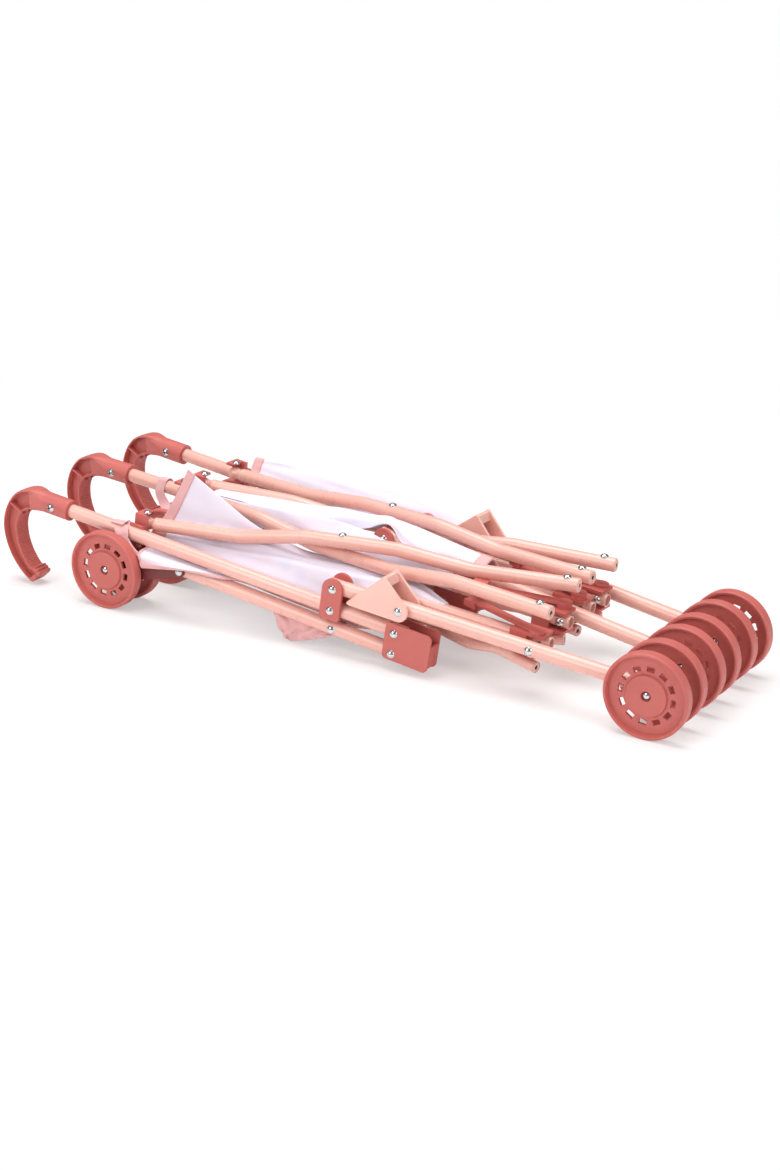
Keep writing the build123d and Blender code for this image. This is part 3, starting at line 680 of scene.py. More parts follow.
@dataclass
class HookHandle:
    """Hooked grip of one side frame: a round socket that runs on into a pocketed hook."""

    side: Side
    material: bpy.types.Material
    # near-black painted shade used for the screws' cross recesses
    dark: bpy.types.Material
    mouth: float = -339.0
    width: float = 17.0
    boxed_from: float = 26.0
    boxed_over: float = 15.0
    pocket: float = 6.2
    pocket_from: float = 42.0
    pocket_wall: float = 1.4
    tip_wall: float = 4.0
    tip_round: float = 2.0
    flange: float = 1.9
    groove: float = 0.45
    groove_pitch: float = 2.3
    groove_from: float = 50.0
    knob: float = 5.2
    knob_length: float = 12.0
    tooth: float = 1.5
    tooth_pitch: float = 4.2
    stations: int = 340
    socket_hollow: tuple = ((0.68, -3.0), (0.68, 0.3), (0.93, 0.35), (0.985, 0.1))
    rib: tuple = ((-49.5, -16.0), (-65.0, -9.3))
    rib_side: float = 4.9
    screw_place: tuple = (-17.0, 11.55)
    screw_reach: float = 1.9
    outer: tuple = ((0, 9.5), (-13, 9.5), (-26, 9.5), (-38, 9.6), (-48, 7.6), (-57.5, 2.2), (-65, -8),
                    (-69.3, -20.5), (-69.8, -33), (-66.5, -45.5), (-60, -57.5), (-51.5, -67.2),
                    (-42.5, -74.2), (-34, -79))
    inner: tuple = ((0, -9.5), (-13, -9.5), (-25, -9.5), (-36, -9.3), (-43, -10.2), (-48.3, -13.6),
                    (-52, -19.5), (-53.7, -27), (-53.2, -35.5), (-50.6, -44.5), (-46, -53), (-40, -60.5),
                    (-33.5, -66.5), (-27, -71))

    def outline(self, half: Array, square: Array, depth: Array) -> Array:
        """Ring of points round one section for each station.

        The ring is a circle where square is 0 and a rounded box with side pockets where it is 1. A quarter
        runs from the middle of the outer face over the flange's edge to the pocket's floor; the rest mirrors
        it.

        Args:
            half: half thickness by station.
            square: share of the boxed form by station.
            depth: pocket's depth by station.

        Returns:
            Stations by points by (across, side).
        """
        wide = np.full_like(half, self.width / 2)
        floor = wide - np.maximum(depth, 0.05)
        edge = half - self.flange
        box_across = np.stack([half, half - 0.1, half - 0.3, half - 0.7, half - 1.1, edge, edge - 0.1,
                               edge - 0.2, edge - 0.4, half * 0.3, half * 0.0], axis=1)
        box_side = np.stack([wide * 0, wide * 0.6, wide - 1.0, wide - 0.3, wide, wide, wide - 0.3,
                             floor + 0.3, floor, floor, floor], axis=1)
        angle = np.radians(np.array([0, 22, 36, 42, 48, 56, 62, 68, 73, 82, 90]))
        share = square[:, None]
        across = (1 - share) * half[:, None] * np.cos(angle) + share * box_across
        side = (1 - share) * half[:, None] * np.sin(angle) + share * box_side
        right = np.stack([across, side], axis=-1)
        back = right[:, -2::-1] * (-1, 1)
        left = right[:, 1:] * (-1, -1)
        last = right[:, -2:0:-1] * (1, -1)
        return np.concatenate([right, back, left, last], axis=1)

    def surface(self) -> Array:
        """Grip's skin: sections laid between the outer and the inner side line."""
        place = np.linspace(0.0, 1.0, self.stations)
        outer = spline(np.array(self.outer, dtype=float), place)
        inner = spline(np.array(self.inner, dtype=float), place)
        middle = (outer + inner) / 2
        across = (outer - inner) / 2
        half = np.linalg.norm(across, axis=1)
        across /= half[:, None]
        run = np.concatenate([[0.0], np.cumsum(np.linalg.norm(np.diff(middle, axis=0), axis=1))])
        left = run[-1] - run
        square = eased(growth(run, self.boxed_from, self.boxed_over))
        depth = self.pocket * growth(run, self.pocket_from, self.pocket_wall)
        depth = depth * growth(left, self.tip_wall, self.pocket_wall)
        half = half * np.sqrt(np.clip(1 - (1 - growth(left, 0.0, self.tip_round)) ** 2 * 0.35, 0.0, 1.0))
        ring = self.outline(half, square, depth)
        gripped = growth(run, self.groove_from, 4.0) * growth(left, self.knob_length + 3.0, 2.0)
        cut = self.groove * gripped * (0.5 - 0.5 * np.cos(2 * math.pi * run / self.groove_pitch))
        swell = self.knob * eased(growth(-left, -self.knob_length, 2.2))
        teeth = self.tooth * growth(-left, 1.0 - self.knob_length, 0.8)
        teeth = teeth * (0.5 + 0.5 * np.cos(2 * math.pi * left / self.tooth_pitch))
        inward = np.clip(-ring[..., 0] / half[:, None], 0.0, 1.0)
        reach = ring[..., 0] + inward**6 * (cut + teeth)[:, None] - inward**2 * swell[:, None]
        plane = middle[:, None] + reach[..., None] * across[:, None]
        return np.stack([plane[..., 0] + self.mouth, ring[..., 1], plane[..., 1]], axis=-1)

    def build(self) -> None:
        """Make the grip and put it on its tube."""
        place = FRAMES[self.side].handle()
        skin = self.surface()
        hollow = [skin[0] * (1, share, share) + (out, 0.0, 0.0) for share, out in self.socket_hollow]
        skin = np.concatenate([np.array(hollow), skin])
        work = Patchwork()
        work.grid(put(place, skin * MM), wrap=True, flip=True)
        work.fan(put(place, skin[-1] * MM), flip=True)
        for cheek in (-1, 1):
            path = np.array([(x + self.mouth, cheek * self.rib_side, z) for x, z in self.rib])
            bar = swept(path, bar_profile(0.9, 2.9, 0.3), np.array([0, 1.0, 0]))
            work.grid(put(place, bar * MM), wrap=True)
        made = work.piece(f"hook_handle_{self.side.word}", self.material, crease=0.62)
        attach(made, f"{self.side.word}_frame")
        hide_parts(f"handle_{self.side.word}")
        self.screw(place)

    def screw(self, place: Array) -> None:
        """Near-black cross of painted shade on each cheek of the socket, standing in for the shade in the
        screw's cross recess.
        """
        back, out = self.screw_place
        for cheek in (-1, 1):
            work = Patchwork()
            middle = np.array([self.mouth + back, cheek * out, 0.0])
            for lean in np.radians([20.0, 110.0]):
                reach = self.screw_reach * np.array([math.cos(lean), 0.0, math.sin(lean)])
                path = np.stack([middle - reach, middle + reach])
                bar = put(place, swept(path, bar_profile(0.4, 0.25, 0.12), np.array([0, 1.0, 0])) * MM)
                work.grid(bar, wrap=True).fan(bar[0]).fan(bar[-1], flip=True)
            name = f"screw_cross_{self.side.word}_{'outer' if cheek < 0 else 'inner'}"
            made = work.piece(name, self.dark)
            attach(made, f"{self.side.word}_frame")


# Small fittings


@dataclass
class Fittings:
    """Rivet heads, tube plugs, brace ends, cut clips and wheel beads; lengths in millimetres.

    The seats of the braces are given for the left side of their body: clip on the handle tube, post and foot
    on the rail's yoke, leg on the front leg.
    """

    nodes: dict
    slots: dict[str, str]
    steel: bpy.types.Material
    plug: bpy.types.Material
    # near-black painted shade for the inside of the plugs' bores
    hole: bpy.types.Material
    paint: bpy.types.Material
    red: bpy.types.Material
    clip_seat: Point = (-268.0, 15.0, 6.5)
    clip_top: Point = (-268.0, 15.0, 16.6)
    post_seat: Point = (-3.0, 13.0, 29.0)
    foot_seat: Point = (-3.0, 13.0, -20.0)
    leg_seat: Point = (-59.5, 17.0, -18.5)
    brace_radius: float = 6.0
    brace_top: float = 5.9
    brace_past_post: float = 10.0
    lower_radius: float = 4.75
    lower_cut: float = 7.5
    lower_past_foot: float = 3.4
    crossing_back: float = 303.0
    crossing_span: tuple = (20.0, 60.0)
    hole_radius: float = 1.8
    bead_reach: float = 33.7
    bead_radius: float = 1.25
    bead_side: float = 19.2
    cap: tuple = ((0.6, -6.31), (2.4, -5.87), (4.2, -4.75), (5.5, -3.15), (6.2, -1.3), (6.34, 0.0),
                  (6.2, 1.3), (5.6, 3.0), (4.9, 4.6), (4.7, 7.2), (5.2, 8.8), (6.03, 9.4), (6.02, 12.0),
                  (5.8, 12.2))
    head: tuple = ((0.0, 2.1), (0.9, 2.05), (1.9, 1.8), (2.8, 1.3), (3.4, 0.6), (3.6, 0.0), (3.5, -0.5))

    def seat(self, place: Array, point: Point, side: int) -> Array:
        """Seat of a brace on the left (1) or right (-1) side of a body."""
        return put(place, np.array(point) * (1, side, 1) * MM)

    def facing(self, point: Array, direction: Array) -> Array:
        """Matrix that puts +Z along a direction at a point."""
        along = direction / np.linalg.norm(direction)
        side = np.cross((0.0, 1.0, 0.0) if abs(along[1]) < 0.9 else (1.0, 0.0, 0.0), along)
        side /= np.linalg.norm(side)
        matrix = np.eye(4)
        matrix[:3, :3] = np.stack([side, np.cross(along, side), along], axis=1)
        matrix[:3, 3] = point
        return matrix

    def rivet(self, name: str, point: Array, body: str, up: Sequence[float] = (0.0, 0.0, 1.0)) -> None:
        """Domed head standing on a tube."""
        place = self.facing(np.asarray(point), np.asarray(up, dtype=float))
        grid = put(place, revolved(self.head, 32) * MM)
        made = Patchwork().grid(grid, wrap=True, flip=True).fan(grid[-1], flip=True).piece(name, self.steel)
        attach(made, body)

    def crown(self, node: str, x: float, span: tuple[float, float]) -> Array:
        """Highest point of a tube at one station: the best of a row of looks straight down.

        Args:
            node: tube's node.
            x: station along the stroller.
            span: lowest and highest side place to look at.

        Returns:
            The point.
        """
        held = self.nodes[node]
        bpy.context.view_layer.update()
        inverse = held.matrix_world.inverted()
        down = inverse.to_3x3() @ Vector((0.0, 0.0, -1.0))
        best = np.array([x, sum(span) / 2, 0.0])
        for y in np.linspace(*span, 81):
            hit, point, _, _ = held.ray_cast(inverse @ Vector((x, y, 0.5)), down)
            point = held.matrix_world @ point
            if hit and point.z > best[2]:
                best = np.array(point)
        return best

    def end_plug(self, name: str, point: Array, direction: Array, radius: float, body: str) -> None:
        """Moulded plug whose middle bore is lined with a near-black cup of painted shade."""
        place = self.facing(point, direction)
        hole = self.hole_radius
        profile = [(hole, -2.5), (hole, 0.7), (hole + 0.25, 0.9), (radius - 1.6, 0.9), (radius - 0.6, 0.6),
                   (radius - 0.1, 0.0), (radius - 0.1, -0.6)]
        made = Patchwork().grid(put(place, revolved(profile, 36) * MM), wrap=True).piece(name, self.plug)
        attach(made, body)
        # painted shade: this near-black cup stands in for the shade down the plug's bore
        pit = put(place, revolved([(hole + 0.01, 0.55), (hole + 0.01, 0.1), (0.02, 0.05)], 20) * MM)
        core = Patchwork().grid(pit, wrap=True).fan(pit[-1]).piece(name + "_hole", self.hole)
        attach(core, body)

    def start_cap(self, name: str, point: Array, direction: Array, body: str) -> None:
        """Rounded tube end over the ball and neck of a back brace."""
        grid = put(self.facing(point, direction), revolved(self.cap, 36) * MM)
        made = Patchwork().grid(grid, wrap=True).fan(grid[0], flip=True).piece(name, self.paint)
        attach(made, body)

    def halved(self, name: str, node: str, point: Array, keep: Array, material: bpy.types.Material,
               body: str) -> None:
        """Stand a cut copy in for a solid.

        Args:
            name: piece's name.
            node: solid that the copy is taken from and replaces.
            point: point on the cut.
            keep: direction of the side that stays.
            material: its finish.
            body: body that it rides on.
        """
        held = self.nodes[node]
        bpy.context.view_layer.update()
        work = bmesh.new()
        work.from_mesh(held.data)
        work.transform(held.matrix_world)
        bmesh.ops.remove_doubles(work, verts=work.verts, dist=0.000001)
        cut = bmesh.ops.bisect_plane(work, geom=[*work.verts, *work.edges, *work.faces], dist=0.000001,
                                     plane_co=point, plane_no=keep, clear_inner=True)
        rim = [part for part in cut["geom_cut"] if isinstance(part, bmesh.types.BMEdge)]
        bmesh.ops.edgeloop_fill(work, edges=rim)
        bmesh.ops.recalc_face_normals(work, faces=work.faces)
        mesh = bpy.data.meshes.new(name)
        work.to_mesh(mesh)
        work.free()
        mesh.polygons.foreach_set("use_smooth", np.ones(len(mesh.polygons), dtype=bool))
        mesh.set_sharp_from_angle(angle=0.6)
        mesh.materials.clear()
        mesh.materials.append(material)
        made = linked(name, mesh)
        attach(made, body)
        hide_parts(node)

    def saddle(self, side: Side) -> None:
        """Clip of an outer frame cut to the inner half of the tube: nothing of it shows on the open side."""
        place = FRAMES[side].handle()
        self.halved(f"clip_saddle_{side.word}", f"brace_clip_{side.word}", place[:3, 3],
                    -side.value * place[:3, 1], self.red, f"{side.word}_frame")

    def lower_end(self, node: str, start: tuple[Side, int], end: tuple[Side, int]) -> None:
        """Plain plugged tube end in place of a lower brace's ball.

        Args:
            node: lower brace.
            start: frame and side of the yoke end.
            end: frame and side of the front leg end.
        """
        ball = self.seat(FRAMES[start[0]].rail(), self.foot_seat, start[1])
        far = self.seat(FRAMES[end[0]].front(), self.leg_seat, end[1])
        along = (far - ball) / np.linalg.norm(far - ball)
        body = f"{node}_body"
        self.halved(f"{node}_tube", node, ball + along * self.lower_cut * MM, along, self.paint, body)
        radius = self.lower_radius
        profile = [(radius - 0.05, -9.0), (radius, -8.6), (radius, 3.8), (radius - 0.05, 4.0)]
        grid = put(self.facing(ball, -along), revolved(profile, 36) * MM)
        made = Patchwork().grid(grid, wrap=True).piece(f"{node}_end", self.paint)
        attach(made, body)
        self.end_plug(f"{node}_end_plug", ball - along * self.lower_past_foot * MM, -along, radius, body)

    def upper_ends(self, node: str, start: tuple[Side, int], end: tuple[Side, int]) -> None:
        """Cap, plug and rivets at both ends of a back brace.

        Args:
            node: back brace.
            start: frame and side of the clip end.
            end: frame and side of the yoke end.
        """
        side, hand = start
        handle = FRAMES[side].handle()
        first = self.seat(handle, self.clip_seat, hand)
        last = self.seat(FRAMES[end[0]].rail(), self.post_seat, end[1])
        along = (last - first) / np.linalg.norm(last - first)
        body = f"{node}_body"
        self.rivet(f"{node}_end_rivet", last + (0, 0, self.brace_top * MM), body)
        self.start_cap(f"{node}_start_cap", first, along, body)
        plug = last + along * self.brace_past_post * MM
        self.end_plug(f"{node}_end_plug", plug, along, self.brace_radius, body)
        name = f"clip_rivet_{side.word}_{'left' if hand > 0 else 'right'}"
        self.rivet(name, self.seat(handle, self.clip_top, hand), f"{side.word}_frame", handle[:3, 2])

    def bead(self, name: str, place: Array, body: str) -> None:
        """Rounded bead along a wheel's rim: a thin ring about the wheel's axis.

        Args:
            name: piece's name.
            place: matrix with the wheel's centre as its origin and the axle along Y.
            body: wheel pair's body.
        """
        angle = np.linspace(0.0, 2 * math.pi, 17)
        radius = self.bead_radius
        ring = revolved([(self.bead_reach + radius * math.cos(a), radius * math.sin(a)) for a in angle], 96)
        grid = put(place @ turn("X", 90.0), ring * MM)
        made = Patchwork().grid(grid, wrap=True).piece(name, self.red)
        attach(made, body)

    def wheels(self) -> None:
        """Beads on both outer faces of every wheel pair."""
        for side, frame in FRAMES.items():
            back, drop = frame.front_axle
            axles = {"rear": frame.base() @ shift(0.0, 0.0, frame.wheel_radius),
                     "front": frame.front() @ shift(back, 0.0, drop)}
            for end, axle in axles.items():
                for cheek in (-1, 1):
                    name = f"{end}_wheel_bead_{side.word}_{'right' if cheek < 0 else 'left'}"
                    place = axle @ shift(0.0, cheek * self.bead_side * MM, 0.0)
                    self.bead(name, place, f"{side.word}_{end}_wheels")

    def build(self) -> None:
        """Place the fittings on every brace, rail, clip and wheel."""
        self.wheels()
        for outer in (Side.NEAR, Side.FAR):
            self.saddle(outer)
            ends = {f"{outer.word}_to_centre": ((outer, -outer.value), (Side.CENTRE, outer.value)),
                    f"centre_to_{outer.word}": ((Side.CENTRE, outer.value), (outer, -outer.value))}
            for pair, (start, end) in ends.items():
                self.lower_end(f"lower_brace_{pair}", start, end)
            crossing = f"back_brace_{outer.word}_to_centre"
            span = sorted(outer.value * side * MM for side in self.crossing_span)
            middle = self.crown(crossing, AXLE_X - self.crossing_back * MM, tuple(span))
            self.rivet(f"{crossing}_middle_rivet", middle - (0.0, 0.0, 0.2 * MM), f"{crossing}_body")
            for pair, (start, end) in ends.items():
                self.upper_ends(f"back_brace_{pair}", start, end)


# Cloth


class Edge(Enum):
    """Edges of a panel's net that tape is folded over: axis number and parameter."""

    LAST_ROW = (0, 1.0)
    FIRST_COLUMN = (1, 0.0)
    LAST_COLUMN = (1, 1.0)


class Gather(Enum):
    """Ways a panel draws in when the frame opens: axis number and share that stays."""

    DOWN = (2, 0.3)
    LEFT = (0, 0.56)
    UP = (2, 0.15)


@dataclass
class ClothPanel:
    """One sheet of the seat cloth, laid smoothly through a net of points."""

    name: str
    net: Sequence[Sequence[Point]]
    body: str
    joint: str
    rests_on: tuple[str, ...]
    bound: tuple[Edge, ...] = ()
    ripple: float = 0.7
    beats: tuple[float, float] = (2.6, 1.4)
    phase: float = 0.4
    thickness: float = 0.8
    tape: float = 10.0
    tape_lift: float = 1.15
    tape_lip: float = 0.8
    tape_steps: tuple[int, int] = (6, 120)
    size: tuple[int, int] = (72, 150)
    gather: Gather = Gather.DOWN
    held_at: float | None = None

    def surface(self, u: Array, v: Array) -> tuple[Array, Array]:
        """Points and normals at net parameters: a cubic net with shallow waves along its normal.

        The waves are two crossing sines whose phases are bent by a third, slower one.

        Args:
            u: parameters across the rows, 0 to 1.
            v: parameters across the columns, 0 to 1.

        Returns:
            Points and unit normals, u by v by 3, in metres.
        """
        base = spline(spline(from_axle(self.net), u, 0), v, 1)
        normal = np.cross(np.gradient(base, u, axis=0), np.gradient(base, v, axis=1))
        normal /= np.linalg.norm(normal, axis=-1)[..., None]
        a, b = np.meshgrid(u, v, indexing="ij")
        across, along = self.beats
        bend = np.sin(2 * math.pi * (0.9 * a + 0.7 * b + self.phase))
        wave = np.sin(2 * math.pi * (across * a + along * b) + 1.9 * bend + self.phase)
        wave += 0.5 * np.sin(2 * math.pi * (1.7 * along * b - 0.8 * a) + 2.3 * bend)
        return base + (self.ripple * MM * wave)[..., None] * normal, normal

    def cloth(self, material: bpy.types.Material) -> tuple[bpy.types.Object, tuple[float, float], float]:
        """Make the sheet.

        Args:
            material: cloth finish.

        Returns:
            The piece, its flat width and length, and its area, in metres.
        """
        u, v = (np.linspace(0.0, 1.0, count) for count in self.size)
        points, _ = self.surface(u, v)
        steps = [np.linalg.norm(np.diff(points, axis=k), axis=-1) for k in (0, 1)]
        across = np.concatenate([np.zeros((1, len(v))), np.cumsum(steps[0], axis=0)])
        along = np.concatenate([np.zeros((len(u), 1)), np.cumsum(steps[1], axis=1)], axis=1)
        uv = np.stack([along, across], axis=-1)
        diagonals = (points[1:, 1:] - points[:-1, :-1], points[1:, :-1] - points[:-1, 1:])
        area = float(np.linalg.norm(np.cross(*diagonals), axis=-1).sum() / 2)
        made = Patchwork().grid(points, uv, flip=True).piece(self.name, material, weld=0.0)
        skin = made.modifiers.new("cloth_thickness", "SOLIDIFY")
        skin.thickness = self.thickness * MM
        skin.offset = 0.0
        return made, (float(across[-1].max()), float(along[:, -1].max())), area

    def binding(self, edge: Edge, material: bpy.types.Material) -> bpy.types.Object:
        """Tape folded over one edge of the sheet, following its surface inward."""
        axis, start = edge.value
        deep, long = self.tape_steps
        way = np.linspace(0.0, 1.0, long)
        step = 0.02
        near = np.array([0.0, step]) if start == 0.0 else np.array([1.0, 1.0 - step])
        probe, _ = self.surface(*((near, way) if axis == 0 else (way, near)))
        probe = probe if axis == 0 else probe.swapaxes(0, 1)
        unit = np.linalg.norm(probe[1] - probe[0], axis=-1).mean() / step
        depth = np.linspace(0.0, self.tape * MM / unit, deep)
        inward = depth if start == 0.0 else 1.0 - depth
        points, normal = self.surface(*((inward, way) if axis == 0 else (way, inward)))
        if axis == 1:
            points, normal = points.swapaxes(0, 1), normal.swapaxes(0, 1)
        lift = self.tape_lift * MM * normal
        inner = points[1] - points[0]
        lip = points[0] - self.tape_lip * MM * inner / np.linalg.norm(inner, axis=-1)[:, None]
        ring = np.concatenate([(points + lift)[::-1], lip[None], points - lift])
        grid = ring.swapaxes(0, 1)
        length = np.concatenate([[0.0], np.cumsum(np.linalg.norm(np.diff(points[0], axis=0), axis=-1))])
        width = np.linspace(0.0, 2 * self.tape * MM, grid.shape[1] + 1)
        uv = np.stack(np.meshgrid(length, width, indexing="ij"), axis=-1)
        work = Patchwork().grid(grid, uv, wrap=True).fan(grid[0]).fan(grid[-1], flip=True)
        return work.piece(f"{self.name}_{edge.name.lower()}_tape", material)

    def build(self, cloth: bpy.types.Material, tape: bpy.types.Material) -> None:
        """Make the sheet and its tapes, put them on the frame's body and hide the solid seat cloth.

        Args:
            cloth: cloth finish.
            tape: binding finish.
        """
        sheet, flat, area = self.cloth(cloth)
        tapes = [self.binding(edge, tape) for edge in self.bound]
        for piece in (sheet, *tapes):
            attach(piece, self.body)
            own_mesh(piece)
        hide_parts("seat_cloth")
        across, along = (side / MM for side in flat)
        LOG.info("sheet %s flat %.0f by %.0f mm, area %.0f cm2", self.name, across, along, area * 1e4)


@dataclass
class SeatCloth:
    """Both gathered seats: panels, bound edges and strap loops."""

    cloth: bpy.types.Material
    tape: bpy.types.Material
    loop_radius: float = 7.2
    loop_arc: tuple[float, float] = (150.0, -35.0)
    loop_points: int = 26
    strap_points: int = 110
    strap_half: float = 0.55

    def panels(self) -> list[ClothPanel]:
        """Nets of the visible panels, in millimetres from the rear axle's foot."""
        flap = (
            ((-463, -40, 121), (-430, -40.5, 104), (-390, -41, 84), (-350, -33, 69), (-310, -28, 65),
             (-270, -30, 64), (-230, -36, 63), (-194, -48, 58)),
            ((-475, -44, 96), (-436, -45.5, 86), (-395, -45.5, 75), (-350, -46, 68), (-310, -45, 64.5),
             (-270, -46, 64.5), (-230, -48, 63), (-195, -54, 56)),
            ((-487, -49, 72), (-440, -51, 66), (-398, -52, 64.5), (-352, -53, 64), (-310, -53, 60.5),
             (-270, -54, 59.5), (-232, -55, 58), (-197, -57, 52)),
            ((-487, -56, 64), (-441, -59, 61.5), (-399, -59, 59), (-352, -59.5, 55), (-310, -58.5, 50),
             (-270, -59, 48), (-232, -59, 48), (-200, -58, 48)),
            ((-486, -64, 57), (-441, -66, 52), (-399, -65.5, 48.5), (-352, -63.5, 43), (-310, -61, 38),
             (-270, -60, 36), (-232, -60, 38), (-203, -58, 45)),
        )
        band = (
            ((-479, -80, 58.6), (-456, -79, 55.6), (-430, -78.5, 52.2), (-402, -77, 48.3), (-384, -70, 47),
             (-350, -68.5, 45), (-310, -67.5, 40), (-270, -66.5, 35)),
            ((-482, -89, 54), (-457, -90, 52), (-430, -88.5, 50.5), (-401, -82, 47.6), (-384, -71.5, 45),
             (-350, -69, 41.5), (-310, -68, 36.5), (-270, -67, 31)),
            ((-477, -91.5, 43), (-456, -92, 46.5), (-430, -90.5, 49), (-400, -84, 48), (-384, -73, 44.5),
             (-350, -69.5, 37.5), (-310, -68.5, 32), (-270, -67.5, 27)),
        )
        near_fold = (
            ((-466, -11.5, 76), (-400, -17, 72), (-350, -22, 72), (-300, -26, 70), (-270, -27, 66),
             (-235, -27, 62), (-205, -27, 60)),
            ((-466, -10.5, 84), (-400, -14.5, 83), (-350, -17.5, 84), (-300, -20, 82), (-270, -22, 76),
             (-235, -24, 72), (-205, -24.5, 69)),
            ((-466, -9, 90), (-400, -11, 90.5), (-350, -12, 92.5), (-300, -13, 91), (-270, -17, 84),
             (-235, -20, 78), (-205, -21, 74)),
            ((-466, -5.5, 89.5), (-400, -7, 87.5), (-350, -7.5, 86.5), (-300, -10.3, 85), (-270, -12, 79),
             (-235, -14, 73), (-205, -14, 69)),
            ((-466, -4, 89), (-400, -3, 85.5), (-350, -2.5, 81), (-300, -10.3, 76), (-270, -11, 72),
             (-235, -11, 66), (-205, -11, 62)),
        )
        far_fold = (
            ((-468, -2, 89.3), (-400, -1, 85), (-350, 0, 82), (-310, 2, 85), (-284, 2, 94), (-262, -9.5, 84),
             (-230, -9.5, 74), (-185, -9, 68)),
            ((-468, 3, 89.8), (-400, 3, 88), (-350, 4, 89.5), (-310, 5, 92), (-284, 5, 96.5),
             (-262, -5, 90.5), (-230, -5.5, 83), (-185, -6, 77)),
            ((-468, 8, 90.5), (-400, 8, 91), (-350, 9, 94.5), (-310, 10, 95), (-284, 11, 97), (-262, 4, 93.5),
             (-230, 3, 87), (-185, 2, 80.5)),
            ((-468, 11, 88.5), (-400, 14, 89.5), (-350, 16, 92.5), (-310, 17, 92.5), (-284, 18, 93),
             (-262, 14, 91.5), (-230, 12, 86.5), (-185, 9, 80.5)),
            ((-468, 11, 79), (-400, 17, 80), (-350, 22, 81), (-310, 25, 80), (-284, 27, 79), (-262, 25, 78),
             (-230, 23, 75), (-185, 18, 71)),
        )
        far_flap = (
            ((-478, 82, 100.5), (-440, 80.5, 99.5), (-400, 79, 98.5), (-360, 77.5, 97), (-320, 76, 95.5),
             (-280, 74, 92.5), (-245, 71, 86)),
            ((-479, 76.5, 93), (-440, 74.5, 91), (-400, 72.5, 89.5), (-360, 70.5, 88), (-320, 68.5, 86),
             (-280, 66.5, 83), (-245, 64.5, 78.5)),
            ((-480, 71.5, 82), (-440, 69, 79), (-400, 66.5, 76), (-360, 64, 73), (-320, 61, 70),
             (-280, 59, 68), (-245, 58, 66)),
        )
        return [
            ClothPanel("near_flap_and_seat", flap, "near_frame", "spread_near", ("handle_tube_near",),
                       (Edge.FIRST_COLUMN,), 0.8),
            ClothPanel("near_side_band", band, "near_frame", "spread_near", ("handle_tube_near",),
                       (Edge.FIRST_COLUMN, Edge.LAST_ROW), 0.4, phase=0.1, tape=2.4, size=(40, 150)),
            ClothPanel("middle_near_fold", near_fold, "centre_frame", "spread_near", ("handle_tube_centre",),
                       beats=(1.2, 3.1), phase=0.7, gather=Gather.LEFT),
            ClothPanel("middle_far_fold", far_fold, "centre_frame", "spread_far", ("handle_tube_centre",),
                       (Edge.LAST_COLUMN,), 0.6, (1.1, 2.3), 0.2, gather=Gather.LEFT),
            ClothPanel("far_side_flap", far_flap, "far_frame", "spread_far", ("handle_tube_far",),
                       (Edge.FIRST_COLUMN,), 0.35, (0.7, 1.7), 0.9, size=(40, 150), gather=Gather.LEFT),
        ]

    def tail(self) -> ClothPanel:
        """Net of the loose binding end that hangs under the near front leg."""
        net = (
            ((-352, -71, 26.5), (-330, -71, 24), (-305, -71, 21.5), (-284, -71, 19.5)),
            ((-345, -74, 14), (-328, -73, 12.5), (-306, -74, 13), (-284, -72.5, 18)),
            ((-339, -74.5, 4.5), (-332, -73, 1.5), (-309, -75, 9), (-284, -73, 17.4)),
        )
        return ClothPanel("near_loose_tape", net, "near_frame", "spread_near", ("front_leg_near",), (), 0.9,
                          (0.6, 3.4), 0.3, 1.6, size=(40, 90), gather=Gather.UP, held_at=31.0)

    def strap(self, name: str, side: Side, back: float,
              tail: Sequence[tuple[float, float, float, float]]) -> None:
        """Webbing loop round a handle tube with one hanging tail.

        Args:
            name: piece's name.
            side: frame whose tube it goes round.
            back: distance from the knee along the tube.
            tail: further points in millimetres from the rear axle's foot, each with the strap's half width.
        """
        angle = np.radians(np.linspace(*self.loop_arc, self.loop_points))
        across, up = self.loop_radius * np.sin(angle), self.loop_radius * np.cos(angle)
        loop = np.stack([np.full(self.loop_points, -back), across, up], axis=1)
        loop = put(FRAMES[side].handle(), loop * MM) / MM - (AXLE_X / MM, 0.0, 0.0)
        hang = np.array(tail, dtype=float)
        place = np.linspace(0.0, 1.0, self.strap_points)
        path = spline(np.concatenate([loop, hang[:, :3]]), place)
        wide = spline(np.concatenate([np.full(self.loop_points, hang[0, 3]), hang[:, 3]]), place)
        web = bar_profile(self.strap_half, 1.0, 0.2)
        thick = np.broadcast_to(web[:, 0], (self.strap_points, len(web)))
        profile = np.stack([thick, wide[:, None] * web[:, 1]], axis=-1)
        grid = from_axle(swept(path, profile, np.array([1.0, 0.0, 0.0])))
        made = Patchwork().grid(grid, wrap=True).fan(grid[0]).fan(grid[-1], flip=True).piece(name, self.tape)
        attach(made, f"{side.word}_frame")

    def build(self) -> None:
        """Make all panels and straps."""
        for panel in self.panels():
            panel.build(self.cloth, self.tape)
        self.tail().build(self.tape, self.tape)
        self.strap("near_strap_loop", Side.NEAR, 286.0,
                   ((-508.5, -78.0, 74.3, 6.6), (-503.5, -85.0, 72.3, 6.6), (-500.5, -88.3, 68.6, 6.4),
                    (-499.0, -89.0, 65.6, 6.0), (-496.5, -89.4, 62.4, 5.0), (-489.0, -90.0, 57.7, 2.6),
                    (-482.5, -90.0, 53.5, 2.2)))
        self.strap("centre_strap_loop", Side.CENTRE, 301.0,
                   ((-522.0, -7.4, 84.0, 4.8), (-520.8, -8.5, 79.7, 4.8), (-516.2, -10.0, 74.3, 4.6),
                    (-510.5, -13.0, 70.8, 4.6), (-502.7, -18.0, 68.1, 4.6)))


# Studio


